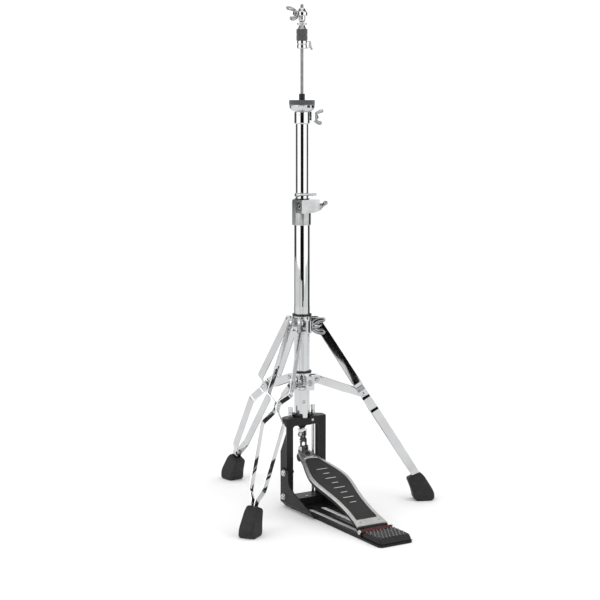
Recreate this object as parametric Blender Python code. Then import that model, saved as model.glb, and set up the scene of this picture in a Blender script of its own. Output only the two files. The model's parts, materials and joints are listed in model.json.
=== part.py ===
"""Hi-hat stand: round base tube in a cast pedal frame, telescoping upper tube with a
cymbal seat, a pull rod with a cymbal clutch, a folding three-leg tripod of double
strips, and a footboard hinged on a heel plate.

Metres, +Z up. The origin is on the floor under the tube axis, the heel points to -Y.
"""
import bpy
import bmesh
import math
from mathutils import Vector, Matrix

for ob in list(bpy.data.objects):
    bpy.data.objects.remove(ob, do_unlink=True)

# ---------------------------------------------------------------- driving dimensions
GAP = 0.0003                 # running clearance between pieces

TUBE_R = 0.015875            # base tube, outside
TUBE_WALL = 0.0015
TUBE_Z0, TUBE_Z1 = 0.1826, 0.5850
UPPER_R = 0.0127             # upper tube, outside
UPPER_WALL = 0.0013
UPPER_Z0, UPPER_Z1 = 0.4500, 0.8040
ROD_R = 0.0030               # pull rod
ROD_TOP = 1.0195

SEAT_Z = 0.8308              # top of the seat felt, where the bottom cymbal rests
SEAT_R = 0.0260

PLATE_T = 0.0045             # base plate
PLATE_W = 0.0385             # half width
PLATE_Y0, PLATE_Y1 = -0.3455, 0.0040
FRAME_W = 0.0470             # half width of the arch
FRAME_IN = 0.0318            # half width of its window
FRAME_Y0, FRAME_Y1 = -0.0180, 0.0
FRAME_TOP = 0.1860
WING_X = 0.0503              # outer face of the base plate's upturned wings
SPUR_X, SPUR_Y = 0.0270, 0.0010

HINGE_Y, HINGE_Z = -0.2735, 0.0125      # footboard hinge
BOARD = [  # along the board: y, half width
    (-0.2620, 0.0345), (-0.2480, 0.0320), (-0.2350, 0.0305), (-0.2180, 0.0298),
    (-0.2000, 0.0303), (-0.1800, 0.0320), (-0.1600, 0.0352), (-0.1400, 0.0392),
    (-0.1250, 0.0418), (-0.1130, 0.0425), (-0.1000, 0.0418), (-0.0850, 0.0385),
    (-0.0700, 0.0338), (-0.0550, 0.0286), (-0.0420, 0.0240), (-0.0330, 0.0214),
    (-0.0200, 0.0178), (-0.0080, 0.0145), (-0.0010, 0.0105)]
BOARD_Z0, BOARD_SLOPE, BOARD_HUMP = 0.0206, 0.3638, 0.0027
BOARD_SIDE = 0.0085          # depth of the board's side walls
RIM = 0.0068                 # width of the bright rim
INSERT_Y0, INSERT_Y1 = -0.2440, -0.0345

LEG_PIVOT_R, LEG_PIVOT_Z = 0.0300, 0.3830
LEG_ANGLE = math.radians(32.6)          # from the vertical
LEG_DIRECTIONS = [("right", -24.0), ("rear", 96.0), ("left", 216.0)]
STRIP_W, STRIP_T = 0.0175, 0.0025
BRACE_T = 0.1836             # brace pin, distance along the leg
BRACE_PIVOT_R, BRACE_PIVOT_Z = 0.0300, 0.2628
LEG_STATIONS = [(-0.0088, 0.0130), (0.0100, 0.0130), (0.1545, 0.0240), (0.1590, 0.0232),
                (0.1735, 0.0034), (0.1790, 0.0030), (0.1885, 0.0030), (0.1935, 0.0034),
                (0.2160, 0.0215), (0.2215, 0.0225), (0.3540, 0.0140), (0.3590, 0.0130),
                (0.3770, 0.0042), (0.3905, 0.0040)]

# ---------------------------------------------------------------- materials
MATS = {}


def material(name, colour, metallic, rough):
    m = bpy.data.materials.new(name)
    m.use_nodes = True
    p = m.node_tree.nodes["Principled BSDF"]
    p.inputs["Base Color"].default_value = (*colour, 1.0)
    p.inputs["Metallic"].default_value = metallic
    p.inputs["Roughness"].default_value = rough
    return m


LOOKS = {
    "chrome": ((0.82, 0.83, 0.84), 1.0, 0.10),
    "steel": ((0.55, 0.56, 0.58), 1.0, 0.30),
    "satin": ((0.70, 0.70, 0.69), 1.0, 0.35),
    "cast": ((0.045, 0.045, 0.048), 0.3, 0.45),
    "rubber": ((0.02, 0.02, 0.02), 0.0, 0.75),
    "nylon": ((0.03, 0.03, 0.03), 0.0, 0.5),
    "felt": ((0.10, 0.10, 0.11), 0.0, 0.95),
    "hinge": ((0.16, 0.05, 0.05), 0.2, 0.5),
}


# ---------------------------------------------------------------- geometry helpers
def obj_from(name, verts, faces, look):
    me = bpy.data.meshes.new(name)
    me.from_pydata([tuple(v) for v in verts], [], faces)
    me.update()
    bm = bmesh.new()
    bm.from_mesh(me)
    bmesh.ops.remove_doubles(bm, verts=bm.verts, dist=1e-7)
    bmesh.ops.recalc_face_normals(bm, faces=bm.faces)
    bm.to_mesh(me)
    bm.free()
    ob = bpy.data.objects.new(name, me)
    bpy.context.scene.collection.objects.link(ob)
    if look:
        c, m, r = LOOKS[look]
        me.materials.append(material("mat_" + name, c, m, r))
    return ob


def prism(name, pts, axis, lo, hi, look=None):
    """Polygon pts extruded along axis ('X','Y','Z') from lo to hi."""
    n = len(pts)

    def put(p, h):
        a, b = p
        return {"X": (h, a, b), "Y": (a, h, b), "Z": (a, b, h)}[axis]
    verts = [put(p, lo) for p in pts] + [put(p, hi) for p in pts]
    faces = [list(range(n)), list(range(n, 2 * n))]
    faces += [[i, (i + 1) % n, n + (i + 1) % n, n + i] for i in range(n)]
    return obj_from(name, verts, faces, look)


def box(name, x0, x1, y0, y1, z0, z1, look=None):
    return prism(name, [(x0, y0), (x1, y0), (x1, y1), (x0, y1)], "Z", z0, z1, look)


def loft(name, rings, look=None, closed_ends=True):
    """Rings of equal vertex counts, joined one to the next."""
    n = len(rings[0])
    verts = [v for r in rings for v in r]
    faces = []
    for k in range(len(rings) - 1):
        for i in range(n):
            j = (i + 1) % n
            faces.append([k * n + i, k * n + j, (k + 1) * n + j, (k + 1) * n + i])
    if closed_ends:
        faces.append(list(range(n)))
        faces.append([(len(rings) - 1) * n + i for i in range(n)])
    ob = obj_from(name, verts, faces, look)
    bm = bmesh.new()
    bm.from_mesh(ob.data)
    bmesh.ops.triangulate(bm, faces=bm.faces)
    bm.to_mesh(ob.data)
    bm.free()
    return ob


def lathe(name, prof, look=None, seg=28, centre=(0, 0, 0), axis="Z", smooth=True, phase=0.0):
    """Closed profile [(r, h), ...] turned about the axis through centre."""
    verts, rows = [], []
    for r, h in prof:
        row = []
        if r <= 1e-9:
            verts.append((0, 0, h))
            row = [len(verts) - 1] * seg
        else:
            for i in range(seg):
                a = 2 * math.pi * i / seg + phase
                verts.append((r * math.cos(a), r * math.sin(a), h))
                row.append(len(verts) - 1)
        rows.append(row)
    faces = []
    m = len(rows)
    ring = prof[0][0] > 1e-9 and prof[-1][0] > 1e-9
    for k in range(m if ring else m - 1):
        a, b = rows[k], rows[(k + 1) % m]
        for i in range(seg):
            j = (i + 1) % seg
            q = [a[i], a[j], b[j], b[i]]
            f = [v for t, v in enumerate(q) if v not in q[:t]]
            if len(f) >= 3:
                faces.append(f)
    if axis == "X":
        verts = [(h, x, y) for x, y, h in verts]
    elif axis == "Y":
        verts = [(y, h, x) for x, y, h in verts]
    cx, cy, cz = centre
    verts = [(x + cx, y + cy, z + cz) for x, y, z in verts]
    ob = obj_from(name, verts, faces, look)
    if smooth:
        smooth_mesh(ob)
    return ob


def smooth_mesh(ob, angle=35.0):
    me = ob.data
    for p in me.polygons:
        p.use_smooth = True
    bm = bmesh.new()
    bm.from_mesh(me)
    for e in bm.edges:
        if len(e.link_faces) == 2:
            e.smooth = e.calc_face_angle(0.0) < math.radians(angle)
    bm.to_mesh(me)
    bm.free()


def rod(name, r, h0, h1, look=None, seg=20, centre=(0, 0, 0), axis="Z"):
    return lathe(name, [(0, h0), (r, h0), (r, h1), (0, h1)], look, seg, centre, axis)


def tube(name, r0, r1, h0, h1, look=None, seg=28, centre=(0, 0, 0), axis="Z"):
    return lathe(name, [(r0, h0), (r1, h0), (r1, h1), (r0, h1)], look, seg, centre, axis)


def combine(target, others, op):
    """Apply exact booleans to target and take the other solids away."""
    for o in others:
        md = target.modifiers.new("b", "BOOLEAN")
        md.operation = op
        md.solver = "EXACT"
        md.object = o
        o.hide_render = True
        o.display_type = "WIRE"
        graph = bpy.context.evaluated_depsgraph_get()
        me = bpy.data.meshes.new_from_object(target.evaluated_get(graph))
        target.modifiers.clear()
        old = target.data
        mats = [m for m in old.materials if m]
        target.data = me
        me.materials.clear()
        for m in mats[:1]:
            me.materials.append(m)
        for p in me.polygons:
            p.material_index = 0
        bpy.data.objects.remove(o, do_unlink=True)
    bm = bmesh.new()
    bm.from_mesh(target.data)
    bmesh.ops.remove_doubles(bm, verts=bm.verts, dist=1e-6)
    bmesh.ops.dissolve_degenerate(bm, edges=bm.edges, dist=1e-6)
    bmesh.ops.recalc_face_normals(bm, faces=bm.faces)
    bm.to_mesh(target.data)
    bm.free()
    smooth_mesh(target)
    return target


def unite(target, *others):
    return combine(target, others, "UNION")


def cut(target, *others):
    return combine(target, others, "DIFFERENCE")


def set_origin(ob, p):
    """Move the object's origin to p, mesh kept where it is."""
    ob.data.transform(Matrix.Translation(-Vector(p)))
    ob.location = p
    return ob


def bevel(ob, width, segments=1, angle=40.0):
    bm = bmesh.new()
    bm.from_mesh(ob.data)
    edges = [e for e in bm.edges if len(e.link_faces) == 2
             and e.calc_face_angle(0.0) > math.radians(angle)]
    bmesh.ops.bevel(bm, geom=edges, offset=width, offset_type="OFFSET", segments=segments,
                    profile=0.5, affect="EDGES", clamp_overlap=True)
    bmesh.ops.recalc_face_normals(bm, faces=bm.faces)
    bm.to_mesh(ob.data)
    bm.free()
    return ob


def rounded(x0, x1, y0, y1, r, n=3):
    pts = []
    for cx, cy, a0 in ((x1 - r, y1 - r, 0), (x0 + r, y1 - r, 90),
                       (x0 + r, y0 + r, 180), (x1 - r, y0 + r, 270)):
        for i in range(n + 1):
            a = math.radians(a0 + 90.0 * i / n)
            pts.append((cx + r * math.cos(a), cy + r * math.sin(a)))
    return pts


def wing_screw(name, shank_r, shank_len, hub_r, hub_len, span, rise, thick=0.0032, look="chrome"):
    """Wing screw along +X: shank from -shank_len to 0, hub from 0, wings in the XZ plane."""
    hub = lathe(name, [(0, -shank_len), (shank_r, -shank_len), (shank_r, 0), (hub_r, 0),
                       (hub_r, hub_len * 0.6), (hub_r * 0.72, hub_len), (0, hub_len)],
                look, 16, axis="X")
    s = span / 2
    half = [(hub_len * 0.10, hub_r * 0.5), (hub_len * 0.15, hub_r * 1.15),
            (hub_len * 0.35, s * 0.72), (hub_len * 0.60, s * 0.93),
            (rise * 0.82, s), (rise, s * 0.90), (rise, s * 0.70),
            (rise * 0.86, s * 0.55), (hub_len * 0.98, hub_r * 0.55)]
    pts = half + [(a, -b) for a, b in reversed(half)]
    wings = prism(name + "_w", [(a, b) for a, b in pts], "Y", -thick / 2, thick / 2)
    return unite(hub, wings)


# ---------------------------------------------------------------- base plate
def base_plate():
    outline = rounded(-PLATE_W, PLATE_W, PLATE_Y0, PLATE_Y1, 0.009, 3)
    ob = prism("base_plate", outline, "Z", 0.0, PLATE_T, "cast")
    for sx in (-1, 1):
        # upturned wing: slanted foot, then an upright plate with a falling front edge
        slant = [(sx * 0.0345, 0.0006), (sx * 0.0384, 0.0), (sx * WING_X, 0.0119),
                 (sx * WING_X, 0.0150), (sx * (WING_X - 0.003), 0.0150),
                 (sx * (WING_X - 0.003), 0.0131), (sx * 0.0372, 0.0030)]
        foot = prism("w1", slant, "Y", -0.1180, PLATE_Y1 - 0.0015)
        side = [(0.0, 0.0140), (0.0, 0.0815), (-0.0260, 0.0815), (-0.0285, 0.0790),
                (-0.0285, 0.0560), (-0.0480, 0.0386), (-0.0754, 0.0294),
                (-0.1080, 0.0170), (-0.1180, 0.0140)]
        x0, x1 = sorted((sx * (WING_X - 0.003), sx * WING_X))
        plate = prism("w2", side, "X", x0, x1)
        unite(ob, foot, plate)
    slots = []
    for x0, x1 in ((-0.0255, -0.0060), (0.0060, 0.0255)):
        slots.append(prism("s", rounded(x0, x1, -0.2480, -0.0500, 0.004, 2), "Z", -0.01, 0.02))
    cut(ob, *slots)
    return ob


def heel_plate():
    prof = [(-0.2865, PLATE_T + GAP), (-0.2865, 0.0162), (-0.2885, 0.0172), (-0.3330, 0.0172),
            (-0.3385, 0.0148), (-0.3425, 0.0080), (-0.3432, PLATE_T + GAP)]
    n = len(prof)
    rings = []
    for x, inset in ((-0.0362, 0.0035), (-0.0325, 0.0), (0.0325, 0.0), (0.0362, 0.0035)):
        rings.append([(x, y + (inset if y < -0.31 else 0), z - (inset * 0.25 if z > 0.01 else 0))
                      for y, z in prof])
    return loft("heel_plate", rings, "cast")


# ---------------------------------------------------------------- pedal frame
def pedal_frame():
    def upright(sx):
        def ring(z, d, e):
            return [(sx * FRAME_W, FRAME_Y0, z), (sx * FRAME_IN, FRAME_Y0, z),
                    (sx * FRAME_IN, FRAME_Y1, z), (sx * e[0], e[1], z), (sx * d[0], d[1], z)]
        wide = ((0.0470, 0.0080), (0.0395, 0.0080))
        waist = ((0.0385, 0.0), (0.0360, 0.0))
        top = ((0.0490, 0.0020), (0.0400, 0.0060))
        rings = [ring(0.0140, *wide), ring(0.1150, *wide), ring(0.1520, *waist),
                 ring(0.1660, *waist), ring(0.1790, *top), ring(0.1825, *top)]
        return loft("up", rings)
    slab = [(-0.0470, FRAME_Y0), (0.0470, FRAME_Y0), (0.0495, 0.0010), (0.0390, 0.0090),
            (0.0120, 0.0165), (-0.0120, 0.0165), (-0.0390, 0.0090), (-0.0495, 0.0010)]
    ob = prism("pedal_frame", slab, "Z", 0.1697, FRAME_TOP, "cast")
    bar = box("bar", -0.0372, 0.0372, -0.0300, 0.0080, PLATE_T + 0.0004, 0.0200)
    ring = [(0.0205 * math.cos(2 * math.pi * k / 28), max(-0.0177, 0.0205 * math.sin(2 * math.pi * k / 28)))
            for k in range(28)]
    boss = prism("boss", ring, "Z", 0.1687, 0.1905)
    cone = lathe("cone", [(0, 0.1615), (0.0065, 0.1615), (0.0120, 0.1691), (0.0120, 0.1750), (0, 0.1750)], None, 24)
    unite(ob, upright(-1), upright(1), bar, boss, cone)
    fill = []
    for sx in (-1, 1):
        fill.append(prism("f", [(sx * 0.0330, 0.1710), (sx * 0.0330, 0.1625), (sx * 0.0300, 0.1675),
                                (sx * 0.0262, 0.1710)], "Y", FRAME_Y0 + 0.0004, FRAME_Y1 - 0.0004))
    unite(ob, *fill)
    socket = rod("socket", TUBE_R + GAP, TUBE_Z0 - GAP, 0.30, seg=32)
    notch = box("notch", -0.0085, 0.0085, -0.0300, -0.0050, TUBE_Z0 + 0.0001, 0.20)
    hole = rod("hole", 0.0046, 0.10, 0.20, seg=16)
    spurs = [rod("sp", 0.0034, -0.01, 0.25, seg=14, centre=(sx * SPUR_X, SPUR_Y, 0)) for sx in (-1, 1)]
    cut(ob, socket, notch, hole, *spurs)
    return ob


def spur(side, sx, lift):
    """Anchor spur: knurled head above the frame, plain rod down to the base."""
    z = lift
    prof = [(0, 0.0052 + GAP), (0.0014, 0.0052 + GAP), (0.0030, 0.0105), (0.0030, FRAME_TOP + 0.0012 + z),
            (0.0047, FRAME_TOP + 0.0016 + z), (0.0047, 0.2045 + z), (0.0036, 0.2062 + z), (0, 0.2062 + z)]
    ob = lathe("anchor_spur_" + side, prof, "chrome", 16, (sx * SPUR_X, SPUR_Y, 0))
    return set_origin(ob, (sx * SPUR_X, SPUR_Y, FRAME_TOP))


def hex_bolt(name, r, h, centre, axis, look="chrome", phase=0.0):
    """Hexagon head with a round washer face."""
    ob = lathe(name, [(0, 0), (r, 0), (r, h * 0.85), (r * 0.86, h), (0, h)], look, 6, (0, 0, 0), axis, False, phase)
    ob.data.transform(Matrix.Translation(Vector(centre)))
    return ob


# ---------------------------------------------------------------- footboard
def board_z(y):
    u = (y + 0.262) / 0.232
    hump = BOARD_HUMP * 4 * u * (1 - u) if 0 < u < 1 else 0.0
    return BOARD_Z0 + BOARD_SLOPE * (y + 0.262) + hump


def width_at(y):
    for (ya, wa), (yb, wb) in zip(BOARD, BOARD[1:]):
        if ya <= y <= yb:
            return wa + (wb - wa) * (y - ya) / (yb - ya)
    return BOARD[0][1] if y < BOARD[0][0] else BOARD[-1][1]


def footboard():
    ys = [y for y, _ in BOARD]
    extra = [(INSERT_Y0 - 0.0004, 0), (INSERT_Y0, 1), (INSERT_Y1, 1), (INSERT_Y1 + 0.0004, 0)]
    rows = sorted([(y, 1 if INSERT_Y0 < y < INSERT_Y1 else 0) for y in ys] + extra)
    rings = []
    for y, sunk in rows:
        w, z = width_at(y), board_z(y)
        d = 0.0013 * sunk
        i = w - RIM if w > RIM * 1.5 else w * 0.4
        t = 0.0032
        side = BOARD_SIDE
        rings.append([(-w, y, z - 0.0010), (-w + 0.0010, y, z), (-i, y, z), (-i + 0.0006, y, z - d),
                      (i - 0.0006, y, z - d), (i, y, z), (w - 0.0010, y, z), (w, y, z - 0.0010),
                      (w, y, z - side), (w - 0.0024, y, z - side), (w - 0.0024, y, z - t - 0.0008),
                      (-w + 0.0024, y, z - t - 0.0008), (-w + 0.0024, y, z - side), (-w, y, z - side)])
    ob = loft("footboard", rings, "satin")
    knuckle = box("kn", -0.0340, 0.0340, -0.2655, -0.2595, 0.0095, 0.0185)
    lug = rod("lug", 0.0050, -0.0340, 0.0340, seg=14, centre=(0, HINGE_Y, HINGE_Z), axis="X")
    web = box("web", -0.0340, 0.0340, -0.2735, -0.2600, 0.0102, 0.0148)
    unite(ob, knuckle, lug, web)
    pin_hole = rod("ph", 0.0024, -0.06, 0.06, seg=12, centre=(0, HINGE_Y, HINGE_Z), axis="X")
    # the two end thirds of the knuckle belong to the base side strip
    relief = [box("r", sx * 0.0230 if sx > 0 else -0.0400, 0.0400 if sx > 0 else -0.0230,
                  -0.2900, -0.2668, 0.0040, 0.0200) for sx in (-1, 1)]
    cut(ob, pin_hole, *relief)
    return set_origin(ob, (0, HINGE_Y, HINGE_Z))


def footboard_insert():
    rows = [INSERT_Y0 + 0.0006, -0.2400] + [y for y, _ in BOARD if -0.238 < y < -0.036] + [INSERT_Y1 - 0.0036, INSERT_Y1 - 0.0006]
    rings = []
    for k, y in enumerate(sorted(rows)):
        i = width_at(y) - RIM - 0.0010
        if k == 0:
            i -= 0.0030
        if k == len(rows) - 1:
            i -= 0.0035
        z = board_z(y)
        rings.append([(-i, y, z - 0.0010), (-i, y, z - 0.0001), (-i + 0.0006, y, z + 0.0005),
                      (i - 0.0006, y, z + 0.0005), (i, y, z - 0.0001), (i, y, z - 0.0010)])
    ob = loft("footboard_insert", rings, "rubber")
    return set_origin(ob, (0, HINGE_Y, HINGE_Z))


def toe_bracket():
    """Strap on top of the toe, forked at the front; an ear rises from each prong beside the chain's last link."""
    def z(y):
        return board_z(y) + GAP
    rings = []
    for y in (-0.0325, -0.0200, -0.0080, -0.0015):
        rings.append([(-0.0098, y, z(y)), (0.0098, y, z(y)), (0.0098, y, z(y) + 0.0020), (-0.0098, y, z(y) + 0.0020)])
    ob = loft("toe_bracket", rings, "satin")
    ears = []
    for sx in (-1, 1):
        x0, x1 = sorted((sx * 0.0078, sx * 0.0098))
        ears.append(prism("e", [(-0.0125, 0.1130), (-0.0015, 0.1168), (-0.0022, 0.1215),
                                (-0.0068, 0.1240), (-0.0115, 0.1215)], "X", x0, x1))
    unite(ob, *ears)
    cut(ob, box("fork", -0.0070, 0.0070, -0.0130, 0.0050, 0.1000, 0.1300))
    return set_origin(ob, (0, HINGE_Y, HINGE_Z))


def drive_chain():
    """Roller chain, three pins; the side plates are waisted."""
    pins = [(-0.0030, 0.1490), (-0.0049, 0.1347), (-0.0068, 0.1204)]
    ob = None
    parts = []
    for (ya, za), (yb, zb), half in ((pins[0], pins[1], 0.0042), (pins[1], pins[2], 0.0056)):
        d = Vector((yb - ya, zb - za)).normalized()
        n = Vector((-d.y, d.x))
        pts = []
        for (cy, cz), sgn in (((ya, za), -1), ((yb, zb), 1)):
            for k in range(7):
                a = math.radians(-90 + 30 * k)
                v = d * (math.cos(a) * sgn) + n * (math.sin(a) * sgn)
                pts.append((cy + v.x * 0.0041, cz + v.y * 0.0041))
            if sgn == -1:
                m = ((ya + yb) / 2, (za + zb) / 2)
        for sx in (-1, 1):
            x0, x1 = sorted((sx * half, sx * (half - 0.0014)))
            parts.append(prism("cp", pts, "X", x0, x1))
    parts.append(rod("cr", 0.0038, -0.0030, 0.0030, seg=12, centre=(0,) + pins[1], axis="X"))
    parts.append(rod("cr", 0.0038, -0.0043, 0.0043, seg=12, centre=(0,) + pins[2], axis="X"))
    parts.append(rod("cp", 0.0019, -0.0064, 0.0064, seg=10, centre=(0,) + pins[1], axis="X"))
    parts.append(rod("cp", 0.0019, -0.0068, 0.0068, seg=10, centre=(0,) + pins[2], axis="X"))
    parts.append(rod("cr", 0.0026, -0.0036, 0.0036, seg=12, centre=(0,) + pins[0], axis="X"))
    ob = lathe("drive_chain", [(0, -0.0050), (0.0019, -0.0050), (0.0019, 0.0050), (0, 0.0050)], "cast", 10,
               (0,) + pins[0], "X")
    unite(ob, *parts)
    return set_origin(ob, (0, pins[0][0], pins[0][1]))


def rod_connector():
    """Clevis that hangs the chain from the pull rod: block with two cheeks."""
    ob = box("rod_connector", -0.0078, 0.0078, -0.0072, 0.0050, 0.1548, 0.1585, "chrome")
    cheeks = [box("c", sx * 0.0054 if sx > 0 else -0.0078, 0.0078 if sx > 0 else -0.0054,
                  -0.0072, 0.0012, 0.1430, 0.1560) for sx in (-1, 1)]
    nut = lathe("n", [(0.0000, 0.1580), (0.0068, 0.1580), (0.0068, 0.1606), (0.0, 0.1606)], None, 6)
    unite(ob, nut, *cheeks)
    cut(ob, rod("h", ROD_R + GAP, 0.1540, 0.17, seg=16))
    return set_origin(ob, (0, 0, 0.155))


# ---------------------------------------------------------------- tubes and rod
def base_tube():
    ob = tube("base_tube", TUBE_R - TUBE_WALL, TUBE_R, TUBE_Z0, TUBE_Z1, "chrome", 32)
    hole = rod("h", 0.0034, -0.03, -0.0, seg=12, centre=(0, 0, 0.2172), axis="Y")
    hole.data.transform(Matrix.Rotation(math.radians(-16), 4, "Z"))
    slot = box("s", -0.0007, 0.0007, -0.0300, -0.0050, 0.17, 0.2065)
    slot.data.transform(Matrix.Rotation(math.radians(-76), 4, "Z"))
    return cut(ob, hole, slot)


def base_tube_screw():
    ob = lathe("base_tube_screw", [(0, -0.0166), (0.0028, -0.0166), (0.0031, -0.0160), (0.0031, -0.0130), (0, -0.0130)],
               "steel", 12, (0, 0, 0.2172), "Y")
    ob.data.transform(Matrix.Rotation(math.radians(-16), 4, "Z"))
    return ob


def tube_clamp():
    body = lathe("tube_clamp", [(0.0161, 0.5800), (0.0176, 0.5800), (0.0182, 0.5812), (0.0182, 0.6060),
                                (0.0186, 0.6070), (0.0186, 0.6322), (0.0161, 0.6322)], "chrome", 32)
    ear = prism("ear", [(-0.0184, 0.6062), (0.0120, 0.6062), (0.0190, 0.6078), (0.0234, 0.6084), (0.0234, 0.6322), (-0.0184, 0.6322)],
                "Y", -0.0300, 0.0060)
    spine = box("spine", -0.0196, -0.0168, -0.0080, 0.0060, 0.5803, 0.6300)
    unite(body, ear, spine)
    bore = rod("bore", 0.0161, 0.55, 0.5851 + GAP, seg=32)
    seat = rod("seat", 0.0152, 0.55, 0.70, seg=32)
    recess = prism("rec", rounded(-0.0286, -0.0120, 0.6105, 0.6275, 0.0015, 1), "X", -0.03, -0.0150)
    bolt = rod("bh", 0.0033, -0.05, 0.05, seg=14, centre=(0, -0.0215, 0.6190), axis="X")
    split = box("split", 0.0080, 0.0098, -0.0400, -0.0100, 0.59, 0.65)
    cut(body, bore, seat, recess, bolt, split)
    return body


def clamp_handle():
    """T handle: stud through the clamp ears, round hub and a cross bar."""
    ob = lathe("clamp_handle", [(0, -0.0375), (0.0030, -0.0375), (0.0030, 0.0003), (0.0052, 0.0003), (0.0052, 0.0110),
                                (0.0040, 0.0125), (0, 0.0125)], "steel", 14, axis="X")
    bar = lathe("bar", [(0, -0.0165), (0.0034, -0.0160), (0.0046, -0.0130), (0.0036, -0.0040), (0.0036, 0.0040),
                        (0.0046, 0.0130), (0.0034, 0.0160), (0, 0.0165)], None, 12, (0.0118, 0, 0), "Z")
    bar.data.transform(Matrix.Rotation(math.radians(62), 4, "X"))
    unite(ob, bar)
    ob.location = (0.0236, -0.0215, 0.6190)
    return ob


def memory_lock():
    body = tube("memory_lock", UPPER_R + GAP, 0.0200, 0.6340, 0.6505, "chrome", 32)
    ear = prism("e", rounded(-0.0172, 0.0236, -0.0310, 0.0100, 0.0020, 2), "Z", 0.6340, 0.6505)
    back = prism("k", [(-0.0172, 0.0), (0.0150, 0.0), (0.0150, 0.0120), (0.0080, 0.0165), (-0.0150, 0.0165), (-0.0172, 0.0140)],
                 "Z", 0.6340, 0.6505)
    unite(body, ear, back)
    bore = rod("b", UPPER_R + GAP, 0.60, 0.70, seg=32)
    split = box("sp", 0.0075, 0.0090, -0.0400, -0.0090, 0.62, 0.67)
    hole = rod("bh", 0.0028, -0.05, 0.05, seg=12, centre=(0, -0.0178, 0.6422), axis="X")
    cut(body, bore, split, hole)
    return body


# ---------------------------------------------------------------- seat
def seat_cup():
    prof = [(0.0110, 0.8079), (0.0150, 0.8079), (0.0200, 0.8092), (0.0238, 0.8122), (0.0255, 0.8160), (0.0260, 0.8206),
            (0.0110, 0.8206)]
    ob = lathe("seat_cup", prof, "chrome", 28)
    lug = prism("lug", [(0.0150, 0.8082), (0.0285, 0.7900), (0.0285, 0.8125), (0.0235, 0.8180), (0.0150, 0.8180)], "Y", -0.0045, 0.0045)
    unite(ob, lug)
    inner = box("c", 0.0100, 0.0235, -0.006, 0.006, 0.77, 0.8078)
    screw = rod("s", 0.0026, 0.0150, 0.0400, seg=12, centre=(0, 0, 0.7965), axis="X")
    notch = box("n", -0.0030, 0.0030, -0.0300, -0.0230, 0.8150, 0.83)
    cut(ob, inner, screw, notch)
    return set_origin(ob, (0, 0, 0.8079))


# ---------------------------------------------------------------- clutch
def clutch_body():
    prof = [(0, 0.9890), (0.0048, 0.9890), (0.0048, 0.9965 - 0.0005), (0.0067, 0.9965), (0.0067, 0.9985),
            (0.0108, 0.9985), (0.0108, 1.0043), (0.0090, 1.0050), (0.0050, 1.0121), (0, 1.0121)]
    ob = lathe("clutch_body", [(ROD_R + GAP, 0.9325), (0.0046, 0.9325), (0.0046, 0.9845), (0.0067, 0.9890),
                               (0.0067, 0.9962), (0.0104, 0.9968), (0.0108, 0.9975), (0.0108, 1.0038), (0.0100, 1.0046),
                               (0.0088, 1.0048), (0.0050, 1.0121), (ROD_R + GAP, 1.0121)], "chrome", 22)
    screw = rod("s", 0.0027, -0.02, -0.0030, seg=12, centre=(0, 0, 1.0010), axis="X")
    cut(ob, screw)
    return set_origin(ob, (0, 0, 0.9325))


def clutch_bottom_nut():
    prof = [(0.0049, 0.9320), (0.0088, 0.9320), (0.0100, 0.9335), (0.0100, 0.9395), (0.0092, 0.9402), (0.0092, 0.9412),
            (0.0100, 0.9420), (0.0100, 0.9474), (0.0094, 0.9481), (0.0049, 0.9481)]
    ob = lathe("clutch_bottom_nut", prof, "chrome", 20)
    lug = prism("l", rounded(-0.0030, 0.0030, 0.9325, 0.9475, 0.0018, 2), "X", 0.0080, 0.0146)
    unite(ob, lug)
    return ob


# ---------------------------------------------------------------- tripod
def leg_frame(ob, deg, r, z):
    """Place a piece built about its pivot with x outward."""
    a = math.radians(deg)
    ob.location = (r * math.cos(a), r * math.sin(a), z)
    ob.rotation_euler = (0, 0, a)
    return ob


LEG_D = (math.sin(LEG_ANGLE), -math.cos(LEG_ANGLE))
LEG_N = (math.cos(LEG_ANGLE), math.sin(LEG_ANGLE))


def leg_strip(name, side):
    rings = []
    n = len(LEG_STATIONS)
    for k, (t, o) in enumerate(LEG_STATIONS):
        half = STRIP_W / 2
        if k == 0:
            half *= 0.62
        if k == n - 1:
            half *= 0.8
        ka, kb = max(k - 1, 0), min(k + 1, n - 1)
        (ta, oa), (tb, ob_) = LEG_STATIONS[ka], LEG_STATIONS[kb]
        slope = (ob_ - oa) / (tb - ta)
        th = STRIP_T / 2 * min(1.25, math.sqrt(1 + slope * slope))
        cx, cz = LEG_D[0] * t, LEG_D[1] * t
        ring = []
        for s, q in ((-1, -1), (1, -1), (1, 1), (-1, 1)):
            ring.append((cx + LEG_N[0] * half * s, side * (o + q * th), cz + LEG_N[1] * half * s))
        rings.append(ring)
    # extra ring squaring the rounded top end
    t0, o0 = -0.0040, 0.0130
    rings.insert(1, [(LEG_D[0] * t0 + LEG_N[0] * STRIP_W / 2 * s, side * (o0 + q * STRIP_T / 2),
                      LEG_D[1] * t0 + LEG_N[1] * STRIP_W / 2 * s) for s, q in ((-1, -1), (1, -1), (1, 1), (-1, 1))])
    ob = loft(name, rings, "chrome")
    heads = []
    for t, o, r in ((0.0, 0.0130, 0.0048), (BRACE_T, 0.0030, 0.0042)):
        h0, h1 = sorted((side * (o + 0.0004), side * (o + STRIP_T / 2 + 0.0020)))
        heads.append(rod("rh", r, h0, h1, seg=10, centre=(LEG_D[0] * t, 0, LEG_D[1] * t), axis="Y"))
    unite(ob, *heads)
    return ob


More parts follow.
